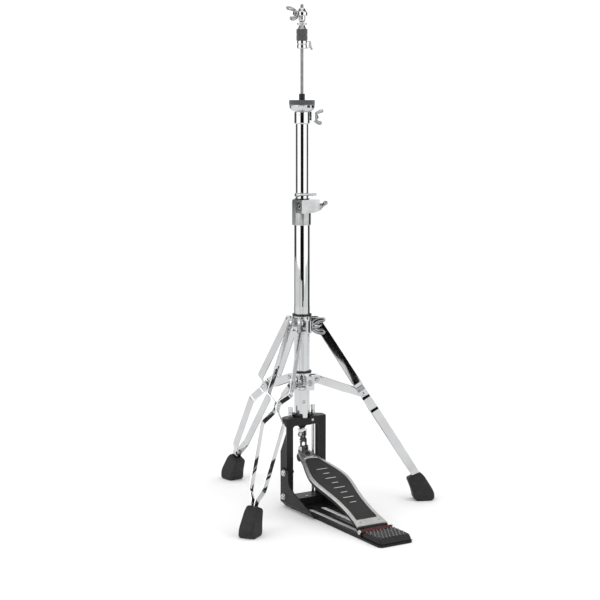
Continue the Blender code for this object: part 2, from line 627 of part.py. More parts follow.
def foot(name):
    """Rubber foot, flat on the floor, with a pocket for the two strip ends."""
    prof = [(0.2400, 0.0), (0.2735, 0.0), (0.2785, 0.0040), (0.2785, 0.0150), (0.2740, 0.0245), (0.2575, 0.0510),
            (0.2475, 0.0590), (0.2225, 0.0475), (0.2215, 0.0440), (0.2310, 0.0200), (0.2345, 0.0045)]
    rings = []
    for y, k in ((-1.0, 1), (-0.80, 0), (0.80, 0), (1.0, 1)):
        ring = []
        for x, z in prof:
            hw = 0.0125 + 0.0050 * (1 - z / 0.059)
            cx, cz = 0.2520, 0.026
            ring.append((x + (cx - x) * 0.13 * k - LEG_PIVOT_R, y * hw, (z + ((cz - z) * 0.10 * k if z > 0.001 else 0.0012 * k)) - LEG_PIVOT_Z))
        rings.append(ring)
    ob = loft(name, rings, "rubber")
    # pocket along the leg direction
    t0, t1 = 0.3700, 0.3925
    hw = STRIP_W / 2 + 0.0006
    hy = 0.0042 + STRIP_T / 2 + 0.0018
    ring = []
    rings = []
    for t in (t0, t1):
        rings.append([(LEG_D[0] * t + LEG_N[0] * hw * s, hy * q, LEG_D[1] * t + LEG_N[1] * hw * s)
                      for s, q in ((-1, -1), (1, -1), (1, 1), (-1, 1))])
    pocket = loft("p", rings)
    cut(ob, pocket)
    return ob


PHI = math.acos(BRACE_T * math.sin(LEG_ANGLE) / math.hypot(
    BRACE_T * math.sin(LEG_ANGLE), LEG_PIVOT_Z - BRACE_T * math.cos(LEG_ANGLE) - BRACE_PIVOT_Z))
BRACE_LEN = math.hypot(BRACE_T * math.sin(LEG_ANGLE), LEG_PIVOT_Z - BRACE_T * math.cos(LEG_ANGLE) - BRACE_PIVOT_Z)


def brace(name):
    d = (math.cos(PHI), -math.sin(PHI))
    n = (math.sin(PHI), math.cos(PHI))
    rings = []
    for x, hy, hz in ((-0.0065, 0.0062, 0.0052), (-0.0030, 0.0062, 0.0084), (0.0640, 0.0062, 0.0084), (0.0830, 0.0014, 0.0080),
                      (BRACE_LEN, 0.0014, 0.0078), (BRACE_LEN + 0.0062, 0.0014, 0.0046)):
        rings.append([(d[0] * x + n[0] * hz * s, hy * q, d[1] * x + n[1] * hz * s)
                      for s, q in ((-1, -1), (1, -1), (1, 1), (-1, 1))])
    return loft(name, rings, "chrome")


def collar(name, z_top, z_bot, z_mid0, z_mid1, ears, ear_z, ear_half, extra=()):
    """Split ring on the tube with three pairs of ears."""
    prof = [(TUBE_R + GAP, z_bot), (0.0196, z_bot), (0.0205, z_bot + 0.0012), (0.0205, z_mid0), (0.0184, z_mid0 + 0.0008),
            (0.0184, z_mid1 - 0.0008), (0.0205, z_mid1), (0.0205, z_top - 0.0075), (0.0194, z_top - 0.0068),
            (0.0194, z_top), (TUBE_R + GAP, z_top)]
    ob = lathe(name, prof, "chrome", 24)
    parts = []
    for deg in (-24.0, 96.0, 216.0):
        for s in (-1, 1):
            y0, y1 = sorted((s * ears[0], s * ears[1]))
            x0, x1 = 0.0060, LEG_PIVOT_R + ear_half
            pts = [(x0, ear_z - ear_half - 0.0030), (x1 - 0.0040, ear_z - ear_half), (x1, ear_z - ear_half + 0.0040),
                   (x1, ear_z + ear_half - 0.0040), (x1 - 0.0040, ear_z + ear_half), (x0, ear_z + ear_half)]
            e = prism("ear", pts, "Y", y0, y1)
            e.data.transform(Matrix.Rotation(math.radians(deg), 4, "Z"))
            parts.append(e)
    unite(ob, *parts)
    for e in extra:
        unite(ob, e)
    cut(ob, rod("b", TUBE_R + GAP, z_bot - 0.02, z_top + 0.02, seg=24))
    return ob


def gasket(name, z0, z1):
    return tube(name, TUBE_R + GAP, 0.0198, z0, z1, "nylon", 24)


# ================================================================ build
base_plate()
heel_plate()
pedal_frame()
spur("left", -1, 0.0)
spur("right", 1, 0.0)
for side, sx in (("left", -1), ("right", 1)):
    for tag, y, z in (("upper", -0.0125, 0.0735), ("lower", -0.0115, 0.0238)):
        o = hex_bolt("frame_bolt_%s_%s" % (side, tag), 0.0060, 0.0042, (0, 0, 0), "X", "chrome", 0.3)
        washer = rod("w", 0.0068, -0.0002, 0.0010, seg=14, axis="X")
        unite(o, washer)
        if sx < 0:
            o.rotation_euler = (0, 0, math.pi)
        o.location = (sx * (WING_X + GAP + 0.0002), y, z)

pin = lathe("heel_hinge_pin", [(0, -0.0392), (0.0040, -0.0392), (0.0046, -0.0384), (0.0046, -0.0360), (0.0020, -0.0360),
                               (0.0020, 0.0360), (0.0046, 0.0360), (0.0046, 0.0384), (0.0040, 0.0392), (0, 0.0392)],
            "chrome", 14, (0, HINGE_Y, HINGE_Z), "X")
# hinge strip on the base: two end knuckles on a flat leaf
strip = box("heel_hinge_strip", -0.0340, 0.0340, -0.2862, -0.2668, PLATE_T + GAP, 0.0068, "hinge")
knuckles = []
for sx in (-1, 1):
    x0, x1 = sorted((sx * 0.0234, sx * 0.0340))
    knuckles.append(rod("k", 0.0048, x0, x1, seg=14, centre=(0, HINGE_Y, HINGE_Z), axis="X"))
    knuckles.append(box("k", x0, x1, HINGE_Y - 0.0040, HINGE_Y + 0.0040, 0.0060, HINGE_Z))
unite(strip, *knuckles)
cut(strip, rod("h", 0.0024, -0.06, 0.06, seg=12, centre=(0, HINGE_Y, HINGE_Z), axis="X"),
    rod("c", 0.0054, -0.0233, 0.0233, seg=14, centre=(0, HINGE_Y, HINGE_Z), axis="X"))

footboard()
footboard_insert()
toe_bracket()
tb = lathe("toe_bolt", [(0, -0.0), (0.0052, 0.0), (0.0052, 0.0014), (0.0040, 0.0028), (0, 0.0034)], "chrome", 16)
tb.rotation_euler = (math.atan(BOARD_SLOPE), 0, 0)
tb.location = (0, -0.0230, board_z(-0.0230) + GAP + 0.0020 + 0.0006)
drive_chain()
rod_connector()

base_tube()
base_tube_screw()
tube_clamp()
nut = hex_bolt("clamp_nut", 0.0060, 0.0045, (0, 0, 0), "X", "chrome", 0.0)
cut(nut, rod("h", 0.0033, -0.01, 0.02, seg=14, axis="X"))
nut.location = (-0.0197, -0.0215, 0.6190)
clamp_handle()
tube("clamp_bushing", UPPER_R + GAP, 0.0149, 0.5860, 0.6336, "nylon", 28)
memory_lock()
mls = lathe("memory_lock_screw", [(0, -0.0262), (0.0036, -0.0262), (0.0040, -0.0256), (0.0040, -0.0176), (0.0024, -0.0176),
                                  (0.0024, 0.0225), (0, 0.0225)], "steel", 12, (0, -0.0178, 0.6422), "X")

tube("upper_tube", UPPER_R - UPPER_WALL, UPPER_R, UPPER_Z0, UPPER_Z1, "chrome", 32)
lathe("tube_top_collar", [(UPPER_R + GAP, 0.7845), (0.0140, 0.7830), (0.0150, 0.7836), (0.0156, 0.7850), (0.0156, 0.8062),
                          (0.0150, 0.8074), (0.0070, 0.8074), (0.0070, 0.8044), (UPPER_R + GAP, 0.8044)], "chrome", 26)
seat_cup()
lathe("seat_felt", [(0.0062, 0.8209), (0.0256, 0.8209), (0.0260, 0.8215), (0.0260, 0.8302), (0.0256, SEAT_Z),
                    (0.0062, SEAT_Z)], "felt", 28)
lathe("seat_sleeve", [(0.0048, 0.8120), (0.0059, 0.8120), (0.0059, 0.8425), (0.0056, 0.8433), (0.0048, 0.8433)], "nylon", 18)
clip = box("tilt_clip", -0.0027, 0.0027, -0.0268, -0.0243, 0.8153, 0.8205, "nylon")
ts = wing_screw("tilt_wing_screw", 0.0023, 0.0128, 0.0062, 0.0085, 0.0310, 0.0195)
ts.rotation_euler = (math.radians(14), 0, 0)
ts.location = (0.0290, 0, 0.7965)

lathe("pull_rod", [(0, 0.1545), (ROD_R, 0.1545), (ROD_R, 1.0178), (0.0022, ROD_TOP), (0, ROD_TOP)], "chrome", 18)
# washer fixed on the rod, which the return spring pushes up against
lathe("spring_seat", [(ROD_R + GAP, 0.4460), (0.0120, 0.4460), (0.0120, 0.4490), (ROD_R + GAP, 0.4490)], "steel", 18)

# return spring: coil round the rod, from the frame socket up to the rod flange
turns, per, sect, coil_r, wire_r = 12, 10, 5, 0.0092, 0.0011
rings = []
z0, z1 = TUBE_Z0 + 0.0012 + wire_r, 0.4455 - wire_r
total = turns * per
for k in range(total + 1):
    a = 2 * math.pi * k / per
    z = z0 + (z1 - z0) * k / total
    c, s = math.cos(a), math.sin(a)
    rings.append([((coil_r + wire_r * math.cos(b)) * c, (coil_r + wire_r * math.cos(b)) * s, z + wire_r * math.sin(b))
                  for b in [2 * math.pi * j / sect for j in range(sect)]])
smooth_mesh(loft("return_spring", rings, "steel"), 80)

clutch_body()
cw = wing_screw("clutch_wing_screw", 0.0024, 0.0076, 0.0060, 0.0080, 0.0330, 0.0205)
cw.rotation_euler = (math.radians(0), 0, math.pi)
cw.data.transform(Matrix.Rotation(math.radians(33), 4, "X"))
cw.location = (-0.0112, 0, 1.0010)
lathe("clutch_lock_nut", [(0.0049, 0.9712), (0.0088, 0.9712), (0.0058, 0.9782), (0.0058, 0.9788), (0.0095, 0.9790),
                          (0.0095, 0.9822), (0.0090, 0.9828), (0.0049, 0.9828)], "chrome", 24)
for tag, za, zb in (("lower", 0.9484, 0.9593), ("upper", 0.9599, 0.9709)):
    lathe("clutch_felt_" + tag, [(0.0049, za), (0.0108, za), (0.0112, za + 0.0006), (0.0112, zb - 0.0006), (0.0108, zb),
                                 (0.0049, zb)], "felt", 20)
clutch_bottom_nut()
lever = prism("clutch_release_lever", [(0.0150, 0.9360), (0.0215, 0.9330), (0.0228, 0.9300), (0.0240, 0.9305), (0.0232, 0.9345),
                                       (0.0205, 0.9385), (0.0205, 0.9460), (0.0190, 0.9475), (0.0150, 0.9475)], "Y", -0.0028, 0.0028, "chrome")
set_origin(lever, (0.0180, 0, 0.9365))

# tripod
boss = prism("boss", rounded(0.0030, 0.0150, -0.0350, -0.0150, 0.003, 2), "Z", 0.3640, 0.3880)
boss.data.transform(Matrix.Rotation(math.radians(-24), 4, "Z"))
lc = collar("leg_collar", 0.3942, 0.3580, 0.3640, 0.3830, (0.0075, 0.0114), 0.3830, 0.0085, (boss,))
scr = rod("s", 0.0031, -0.01, 0.06, seg=12, centre=(0, -0.0280, 0.3760), axis="X")
scr.data.transform(Matrix.Rotation(math.radians(-24), 4, "Z"))
vert = box("v", -0.0022, 0.0022, -0.0300, -0.0100, 0.3882, 0.40)
vert.data.transform(Matrix.Rotation(math.radians(-31), 4, "Z"))
cut(lc, scr, vert)
gasket("leg_collar_gasket", 0.3945, 0.3985)
lw = wing_screw("leg_collar_wing_screw", 0.0028, 0.0118, 0.0076, 0.0150, 0.0350, 0.0290, 0.0036)
a24 = math.radians(-24)
lw.location = (0.0154 * math.cos(a24) + 0.0280 * math.sin(a24), 0.0154 * math.sin(a24) - 0.0280 * math.cos(a24), 0.3760)
lw.rotation_euler = (0, 0, a24)

bl = prism("bl", rounded(0.0040, 0.0220, -0.0300, -0.0140, 0.003, 2), "Z", 0.2440, 0.2730)
bl.data.transform(Matrix.Rotation(math.radians(-24), 4, "Z"))
bc = collar("brace_collar", 0.2768, 0.2423, 0.2480, 0.2660, (0.0066, 0.0100), BRACE_PIVOT_Z, 0.0085, (bl,))
bb = rod("s", 0.0031, -0.0318, -0.0180, seg=12, centre=(0.0135, 0, 0.2590), axis="Y")
bb.data.transform(Matrix.Rotation(math.radians(-24), 4, "Z"))
vert = box("v", -0.0022, 0.0022, -0.0300, -0.0100, 0.2712, 0.28)
vert.data.transform(Matrix.Rotation(math.radians(-31), 4, "Z"))
cut(bc, bb, vert)
gasket("brace_collar_gasket", 0.2771, 0.2808)
bolt = lathe("brace_collar_bolt", [(0, -0.0112), (0.0027, -0.0112), (0.0027, 0.0003), (0.0056, 0.0003), (0.0056, 0.0028),
                                   (0.0040, 0.0044), (0, 0.0046)], "steel", 14, axis="X")
bolt.location = (0.0135 * math.cos(a24) + 0.0300 * math.sin(a24), 0.0135 * math.sin(a24) - 0.0300 * math.cos(a24), 0.2590)
bolt.rotation_euler = (0, 0, a24 - math.pi / 2)

for tag, deg in LEG_DIRECTIONS:
    for sname, s in (("a", 1), ("b", -1)):
        leg_frame(leg_strip("leg_%s_strip_%s" % (tag, sname), s), deg, LEG_PIVOT_R, LEG_PIVOT_Z)
    leg_frame(foot("foot_" + tag), deg, LEG_PIVOT_R, LEG_PIVOT_Z)
    leg_frame(brace("brace_" + tag), deg, BRACE_PIVOT_R, BRACE_PIVOT_Z)

bpy.context.view_layer.update()
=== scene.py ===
"""Looks of the hi-hat stand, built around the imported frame. Metres, +Z up, heel to -Y."""
import bpy
import bmesh
import json
import math
from mathutils import Vector, Matrix, noise

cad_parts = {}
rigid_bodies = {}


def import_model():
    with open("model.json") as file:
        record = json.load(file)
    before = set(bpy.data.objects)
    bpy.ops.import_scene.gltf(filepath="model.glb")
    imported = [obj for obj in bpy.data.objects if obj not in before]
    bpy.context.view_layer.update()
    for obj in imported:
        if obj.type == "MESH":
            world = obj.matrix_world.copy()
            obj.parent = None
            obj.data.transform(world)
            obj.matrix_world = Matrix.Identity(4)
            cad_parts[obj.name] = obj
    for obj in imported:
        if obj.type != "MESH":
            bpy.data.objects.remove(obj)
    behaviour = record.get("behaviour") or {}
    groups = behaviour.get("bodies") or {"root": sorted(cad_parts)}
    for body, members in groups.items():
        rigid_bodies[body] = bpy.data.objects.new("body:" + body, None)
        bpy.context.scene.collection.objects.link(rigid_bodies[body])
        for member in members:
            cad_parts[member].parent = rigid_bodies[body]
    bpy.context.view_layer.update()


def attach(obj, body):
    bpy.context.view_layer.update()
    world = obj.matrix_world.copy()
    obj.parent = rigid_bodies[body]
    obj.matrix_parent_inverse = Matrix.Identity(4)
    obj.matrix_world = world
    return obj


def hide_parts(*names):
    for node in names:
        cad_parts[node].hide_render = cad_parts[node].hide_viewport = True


for _o in list(bpy.data.objects):
    bpy.data.objects.remove(_o, do_unlink=True)

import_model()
RAD = math.radians

# ------------------------------------------------------------------ sizes, as in the CAD
GAP = 0.0003
TUBE_R, TUBE_WALL, TUBE_Z0, TUBE_Z1 = 0.015875, 0.0015, 0.1826, 0.5850
UPPER_R, UPPER_WALL, UPPER_Z0, UPPER_Z1 = 0.0127, 0.0013, 0.4500, 0.8040
ROD_R, ROD_TOP, SEAT_Z = 0.0030, 1.0195, 0.8308
PLATE_T, PLATE_W, PLATE_Y0, PLATE_Y1 = 0.0045, 0.0385, -0.3455, 0.0040
FRAME_W, FRAME_IN, FRAME_Y0, FRAME_Y1, FRAME_TOP = 0.0470, 0.0318, -0.0180, 0.0, 0.1860
WING_X, SPUR_X, SPUR_Y = 0.0503, 0.0270, 0.0010
HINGE_Y, HINGE_Z = -0.2735, 0.0125
BOARD = [(-0.2620, 0.0345), (-0.2480, 0.0320), (-0.2350, 0.0305), (-0.2180, 0.0298), (-0.2000, 0.0303),
         (-0.1800, 0.0320), (-0.1600, 0.0352), (-0.1400, 0.0392), (-0.1250, 0.0418), (-0.1130, 0.0425),
         (-0.1000, 0.0418), (-0.0850, 0.0385), (-0.0700, 0.0338), (-0.0550, 0.0286), (-0.0420, 0.0240),
         (-0.0330, 0.0214), (-0.0200, 0.0178), (-0.0080, 0.0145), (-0.0010, 0.0105)]
BOARD_Z0, BOARD_SLOPE, BOARD_HUMP, BOARD_SIDE, RIM = 0.0206, 0.3638, 0.0027, 0.0085, 0.0068
INSERT_Y0, INSERT_Y1 = -0.2440, -0.0345
LEG_PIVOT_R, LEG_PIVOT_Z, LEG_ANGLE = 0.0300, 0.3830, RAD(32.6)
LEG_DIRECTIONS = [("right", -24.0), ("rear", 96.0), ("left", 216.0)]
STRIP_W, STRIP_T, BRACE_T, BRACE_PIVOT_R, BRACE_PIVOT_Z = 0.0175, 0.0025, 0.1836, 0.0300, 0.2628
LEG_STATIONS = [(-0.0088, 0.0130), (0.0100, 0.0130), (0.1545, 0.0240), (0.1590, 0.0232), (0.1735, 0.0034),
                (0.1790, 0.0030), (0.1885, 0.0030), (0.1935, 0.0034), (0.2160, 0.0215), (0.2215, 0.0225),
                (0.3540, 0.0140), (0.3590, 0.0130), (0.3770, 0.0042), (0.3905, 0.0040)]
LEG_D = (math.sin(LEG_ANGLE), -math.cos(LEG_ANGLE))
LEG_N = (math.cos(LEG_ANGLE), math.sin(LEG_ANGLE))
A24 = RAD(-24)


# ------------------------------------------------------------------ materials
def nodes_of(name):
    m = bpy.data.materials.new(name)
    m.use_nodes = True
    nt = m.node_tree
    return m, nt, nt.nodes["Principled BSDF"], nt.nodes.new("ShaderNodeTexCoord")


def noise_node(nt, tc, scale, detail=4.0, rough=0.55, stretch=None):
    mp = nt.nodes.new("ShaderNodeMapping")
    nt.links.new(tc.outputs["Object"], mp.inputs["Vector"])
    if stretch:
        mp.inputs["Scale"].default_value = stretch
    n = nt.nodes.new("ShaderNodeTexNoise")
    n.inputs["Scale"].default_value = scale
    n.inputs["Detail"].default_value = detail
    n.inputs["Roughness"].default_value = rough
    nt.links.new(mp.outputs["Vector"], n.inputs["Vector"])
    return n


def ramp(nt, src, lo, hi, a=0.3, b=0.7):
    r = nt.nodes.new("ShaderNodeMapRange")
    r.inputs["From Min"].default_value = a
    r.inputs["From Max"].default_value = b
    r.inputs["To Min"].default_value = lo
    r.inputs["To Max"].default_value = hi
    nt.links.new(src, r.inputs["Value"])
    return r.outputs["Result"]


def mix_col(nt, src, c0, c1, a=0.3, b=0.7):
    r = nt.nodes.new("ShaderNodeValToRGB")
    r.color_ramp.elements[0].position = a
    r.color_ramp.elements[1].position = b
    r.color_ramp.elements[0].color = (*c0, 1)
    r.color_ramp.elements[1].color = (*c1, 1)
    nt.links.new(src, r.inputs["Fac"])
    return r.outputs["Color"]


def bump(nt, bsdf, src, strength, dist, chain=None):
    b = nt.nodes.new("ShaderNodeBump")
    b.inputs["Strength"].default_value = strength
    b.inputs["Distance"].default_value = dist
    nt.links.new(src, b.inputs["Height"])
    if chain is not None:
        nt.links.new(chain.outputs["Normal"], b.inputs["Normal"])
    nt.links.new(b.outputs["Normal"], bsdf.inputs["Normal"])
    return b


def chrome_mat(name="chrome_plate", c0=(0.55, 0.555, 0.565), c1=(0.61, 0.615, 0.62)):
    m, nt, p, tc = nodes_of(name)
    p.inputs["Metallic"].default_value = 1.0
    n1 = noise_node(nt, tc, 28.0, 3.0)
    nt.links.new(mix_col(nt, n1.outputs["Fac"], c0, c1), p.inputs["Base Color"])
    n2 = noise_node(nt, tc, 420.0, 5.0, 0.6, (1, 1, 0.25))
    nt.links.new(ramp(nt, n2.outputs["Fac"], 0.03, 0.06), p.inputs["Roughness"])
    n3 = noise_node(nt, tc, 55.0, 2.0)
    bump(nt, p, n3.outputs["Fac"], 0.25, 0.00004)
    return m


def cast_chrome_mat():
    m, nt, p, tc = nodes_of("chrome_on_casting")
    p.inputs["Metallic"].default_value = 1.0
    n1 = noise_node(nt, tc, 60.0, 4.0)
    nt.links.new(mix_col(nt, n1.outputs["Fac"], (0.42, 0.425, 0.43), (0.54, 0.545, 0.55)), p.inputs["Base Color"])
    n2 = noise_node(nt, tc, 500.0, 4.0)
    nt.links.new(ramp(nt, n2.outputs["Fac"], 0.12, 0.22), p.inputs["Roughness"])
    n3 = noise_node(nt, tc, 260.0, 3.0)
    bump(nt, p, n3.outputs["Fac"], 0.35, 0.00006)
    return m


def steel_mat(name="zinc_steel", c0=(0.42, 0.425, 0.435), c1=(0.56, 0.565, 0.575), r0=0.20, r1=0.34):
    m, nt, p, tc = nodes_of(name)
    p.inputs["Metallic"].default_value = 1.0
    n1 = noise_node(nt, tc, 160.0, 5.0)
    nt.links.new(mix_col(nt, n1.outputs["Fac"], c0, c1), p.inputs["Base Color"])
    n2 = noise_node(nt, tc, 900.0, 3.0)
    nt.links.new(ramp(nt, n2.outputs["Fac"], r0, r1), p.inputs["Roughness"])
    bump(nt, p, n2.outputs["Fac"], 0.3, 0.00003)
    return m


def black_cast_mat():
    m, nt, p, tc = nodes_of("black_powder_coat")
    p.inputs["Metallic"].default_value = 0.0
    p.inputs["Specular IOR Level"].default_value = 0.22
    n1 = noise_node(nt, tc, 90.0, 5.0)
    nt.links.new(mix_col(nt, n1.outputs["Fac"], (0.0065, 0.0065, 0.0072), (0.012, 0.012, 0.013)), p.inputs["Base Color"])
    n2 = noise_node(nt, tc, 1300.0, 2.0)
    nt.links.new(ramp(nt, n2.outputs["Fac"], 0.34, 0.48), p.inputs["Roughness"])
    v = nt.nodes.new("ShaderNodeTexVoronoi")
    v.inputs["Scale"].default_value = 1500.0
    nt.links.new(tc.outputs["Object"], v.inputs["Vector"])
    b1 = bump(nt, p, n2.outputs["Fac"], 0.35, 0.00008)
    bump(nt, p, v.outputs["Distance"], 0.18, 0.00008, b1)
    return m


def satin_mat():
    m, nt, p, tc = nodes_of("satin_alloy")
    p.inputs["Metallic"].default_value = 1.0
    n1 = noise_node(nt, tc, 70.0, 5.0)
    nt.links.new(mix_col(nt, n1.outputs["Fac"], (0.52, 0.515, 0.505), (0.66, 0.655, 0.645)), p.inputs["Base Color"])
    n2 = noise_node(nt, tc, 700.0, 4.0, 0.6, (1.0, 0.12, 0.12))
    nt.links.new(ramp(nt, n2.outputs["Fac"], 0.30, 0.46), p.inputs["Roughness"])
    bump(nt, p, n2.outputs["Fac"], 0.35, 0.00005)
    return m


def rubber_mat(name="black_rubber", c0=(0.010, 0.010, 0.0105), c1=(0.020, 0.020, 0.021), r0=0.50, r1=0.66, grain=700.0):
    m, nt, p, tc = nodes_of(name)
    p.inputs["Metallic"].default_value = 0.0
    p.inputs["Specular IOR Level"].default_value = 0.3
    n1 = noise_node(nt, tc, 120.0, 5.0)
    nt.links.new(mix_col(nt, n1.outputs["Fac"], c0, c1), p.inputs["Base Color"])
    n2 = noise_node(nt, tc, grain, 4.0)
    nt.links.new(ramp(nt, n2.outputs["Fac"], r0, r1), p.inputs["Roughness"])
    bump(nt, p, n2.outputs["Fac"], 0.5, 0.00010)
    return m


def nub_mat():
    """Hard glossy black moulding."""
    m, nt, p, tc = nodes_of("glossy_nubs")
    p.inputs["Specular IOR Level"].default_value = 1.0
    p.inputs["Coat Weight"].default_value = 0.6
    p.inputs["Coat Roughness"].default_value = 0.12
    n1 = noise_node(nt, tc, 90.0, 3.0)
    nt.links.new(mix_col(nt, n1.outputs["Fac"], (0.05, 0.05, 0.051), (0.10, 0.10, 0.10)), p.inputs["Base Color"])
    n2 = noise_node(nt, tc, 900.0, 3.0)
    nt.links.new(ramp(nt, n2.outputs["Fac"], 0.14, 0.26), p.inputs["Roughness"])
    return m


def felt_mat():
    m, nt, p, tc = nodes_of("pressed_felt")
    p.inputs["Sheen Weight"].default_value = 0.35
    p.inputs["Sheen Roughness"].default_value = 0.6
    p.inputs["Sheen Tint"].default_value = (0.55, 0.55, 0.58, 1)
    p.inputs["Specular IOR Level"].default_value = 0.15
    n1 = noise_node(nt, tc, 900.0, 8.0, 0.7)
    nt.links.new(mix_col(nt, n1.outputs["Fac"], (0.030, 0.031, 0.034), (0.115, 0.117, 0.122), 0.36, 0.68), p.inputs["Base Color"])
    n2 = noise_node(nt, tc, 1900.0, 6.0, 0.7, (1, 1, 1.8))
    nt.links.new(ramp(nt, n2.outputs["Fac"], 0.85, 1.0), p.inputs["Roughness"])
    b1 = bump(nt, p, n2.outputs["Fac"], 0.9, 0.0004)
    bump(nt, p, n1.outputs["Fac"], 0.6, 0.0003, b1)
    return m


def hinge_mat():
    m, nt, p, tc = nodes_of("hinge_red")
    p.inputs["Metallic"].default_value = 0.6
    n1 = noise_node(nt, tc, 220.0, 4.0)
    nt.links.new(mix_col(nt, n1.outputs["Fac"], (0.055, 0.010, 0.010), (0.115, 0.026, 0.026)), p.inputs["Base Color"])
    n2 = noise_node(nt, tc, 1200.0, 3.0)
    nt.links.new(ramp(nt, n2.outputs["Fac"], 0.32, 0.5), p.inputs["Roughness"])
    bump(nt, p, n2.outputs["Fac"], 0.3, 0.00004)
    return m


def insert_mat():
    """Matt moulded sheet with a very fine grain."""
    m, nt, p, tc = nodes_of("moulded_insert")
    p.inputs["Specular IOR Level"].default_value = 0.2
    n1 = noise_node(nt, tc, 45.0, 4.0)
    nt.links.new(mix_col(nt, n1.outputs["Fac"], (0.026, 0.025, 0.026), (0.034, 0.033, 0.034)), p.inputs["Base Color"])
    n2 = noise_node(nt, tc, 1500.0, 3.0)
    nt.links.new(ramp(nt, n2.outputs["Fac"], 0.55, 0.72), p.inputs["Roughness"])
    bump(nt, p, n2.outputs["Fac"], 0.4, 0.00007)
    return m


def paint_mat():
    m, nt, p, tc = nodes_of("pale_grip_paint")
    n1 = noise_node(nt, tc, 300.0, 5.0)
    nt.links.new(mix_col(nt, n1.outputs["Fac"], (0.58, 0.58, 0.57), (0.74, 0.74, 0.73)), p.inputs["Base Color"])
    n2 = noise_node(nt, tc, 1300.0, 3.0)
    nt.links.new(ramp(nt, n2.outputs["Fac"], 0.42, 0.6), p.inputs["Roughness"])
    bump(nt, p, n2.outputs["Fac"], 0.3, 0.00005)
    return m


# The chrome on the wing screws, T-handle and drop lever is the same plate painted darker: painted shade.
M = {"chrome": chrome_mat(), "chrome_with_painted_shade": chrome_mat("chrome_on_wings_painted_shade", (0.24, 0.243, 0.25), (0.34, 0.343, 0.35)), "castchrome": cast_chrome_mat(), "steel": steel_mat(), "cast": black_cast_mat(),
     "satin": satin_mat(), "rubber": rubber_mat(), "nylon": rubber_mat("black_nylon", (0.008, 0.008, 0.0085), (0.015, 0.015, 0.016), 0.34, 0.46, 1100.0),
     "felt": felt_mat(), "hinge": hinge_mat(), "insert": insert_mat(), "paint": paint_mat(),
     # The pull rod's dark colour is a painted reflection of the black flag card; the bare rod is bright metal.
     "rod": steel_mat("rod_steel_painted_dark_reflection", (0.20, 0.20, 0.205), (0.30, 0.30, 0.305), 0.12, 0.20),
     "chain": steel_mat("blued_chain_steel", (0.030, 0.030, 0.032), (0.085, 0.086, 0.09), 0.24, 0.40),
     "spring": steel_mat("spring_wire", (0.50, 0.505, 0.515), (0.66, 0.665, 0.675), 0.16, 0.28),
     "nub": nub_mat()}


# ------------------------------------------------------------------ mesh helpers
def obj_from(name, verts, faces):
    me = bpy.data.meshes.new(name)
    me.from_pydata([tuple(v) for v in verts], [], faces)
    me.update()
    bm = bmesh.new()
    bm.from_mesh(me)
    bmesh.ops.remove_doubles(bm, verts=bm.verts, dist=1e-7)
    bmesh.ops.recalc_face_normals(bm, faces=bm.faces)
    bm.to_mesh(me)
    bm.free()
    ob = bpy.data.objects.new(name, me)
    bpy.context.scene.collection.objects.link(ob)
    return ob


def fillet(pts, r, n=3, closed=True, keep=None):
    """Round the corners of a 2-D polygon by about r; keep(i, p) says which corners stay sharp."""
    out = []
    m = len(pts)
    for i, p in enumerate(pts):
        if not closed and i in (0, m - 1):
            out.append(p)
            continue
        a, b = Vector(pts[(i - 1) % m]), Vector(pts[(i + 1) % m])
        c = Vector(p)
        if keep and keep(i, p):
            out.append(p)
            continue
        la, lb = (a - c).length, (b - c).length
        if la < 1e-7 or lb < 1e-7:
            out.append(p)
            continue
        ua, ub = (a - c) / la, (b - c) / lb
        if ua.dot(ub) < -0.9995:
            out.append(p)
            continue
        ra, rb = min(r, la * 0.42), min(r, lb * 0.42)
        k = min(ra, rb)
        p0, p2 = c + ua * k, c + ub * k
        for j in range(n + 1):
            t = j / n
            q = p0 * (1 - t) ** 2 + c * 2 * t * (1 - t) + p2 * t * t
            out.append((q.x, q.y))
    return out


def prism(name, pts, axis, lo, hi, r=0.0, n=3):
    if r:
        pts = fillet(pts, r, n)
    k = len(pts)

    def put(p, h):
        a, b = p
        return {"X": (h, a, b), "Y": (a, h, b), "Z": (a, b, h)}[axis]
    verts = [put(p, lo) for p in pts] + [put(p, hi) for p in pts]
    faces = [list(range(k)), list(range(k, 2 * k))]
    faces += [[i, (i + 1) % k, k + (i + 1) % k, k + i] for i in range(k)]
    return obj_from(name, verts, faces)


def box(name, x0, x1, y0, y1, z0, z1):
    return prism(name, [(x0, y0), (x1, y0), (x1, y1), (x0, y1)], "Z", z0, z1)


def loft(name, rings, cap=True, tri=False, loop=False):
    n = len(rings[0])
    verts = [v for r in rings for v in r]
    faces = []
    m = len(rings)
    for k in range(m if loop else m - 1):
        for i in range(n):
            j = (i + 1) % n
            k2 = (k + 1) % m
            faces.append([k * n + i, k * n + j, k2 * n + j, k2 * n + i])
    if cap and not loop:
        faces.append(list(range(n)))
        faces.append([(m - 1) * n + i for i in range(n)])
    ob = obj_from(name, verts, faces)
    if tri:
        bm = bmesh.new()
        bm.from_mesh(ob.data)
        bmesh.ops.triangulate(bm, faces=bm.faces)
        bm.to_mesh(ob.data)
        bm.free()
    return ob


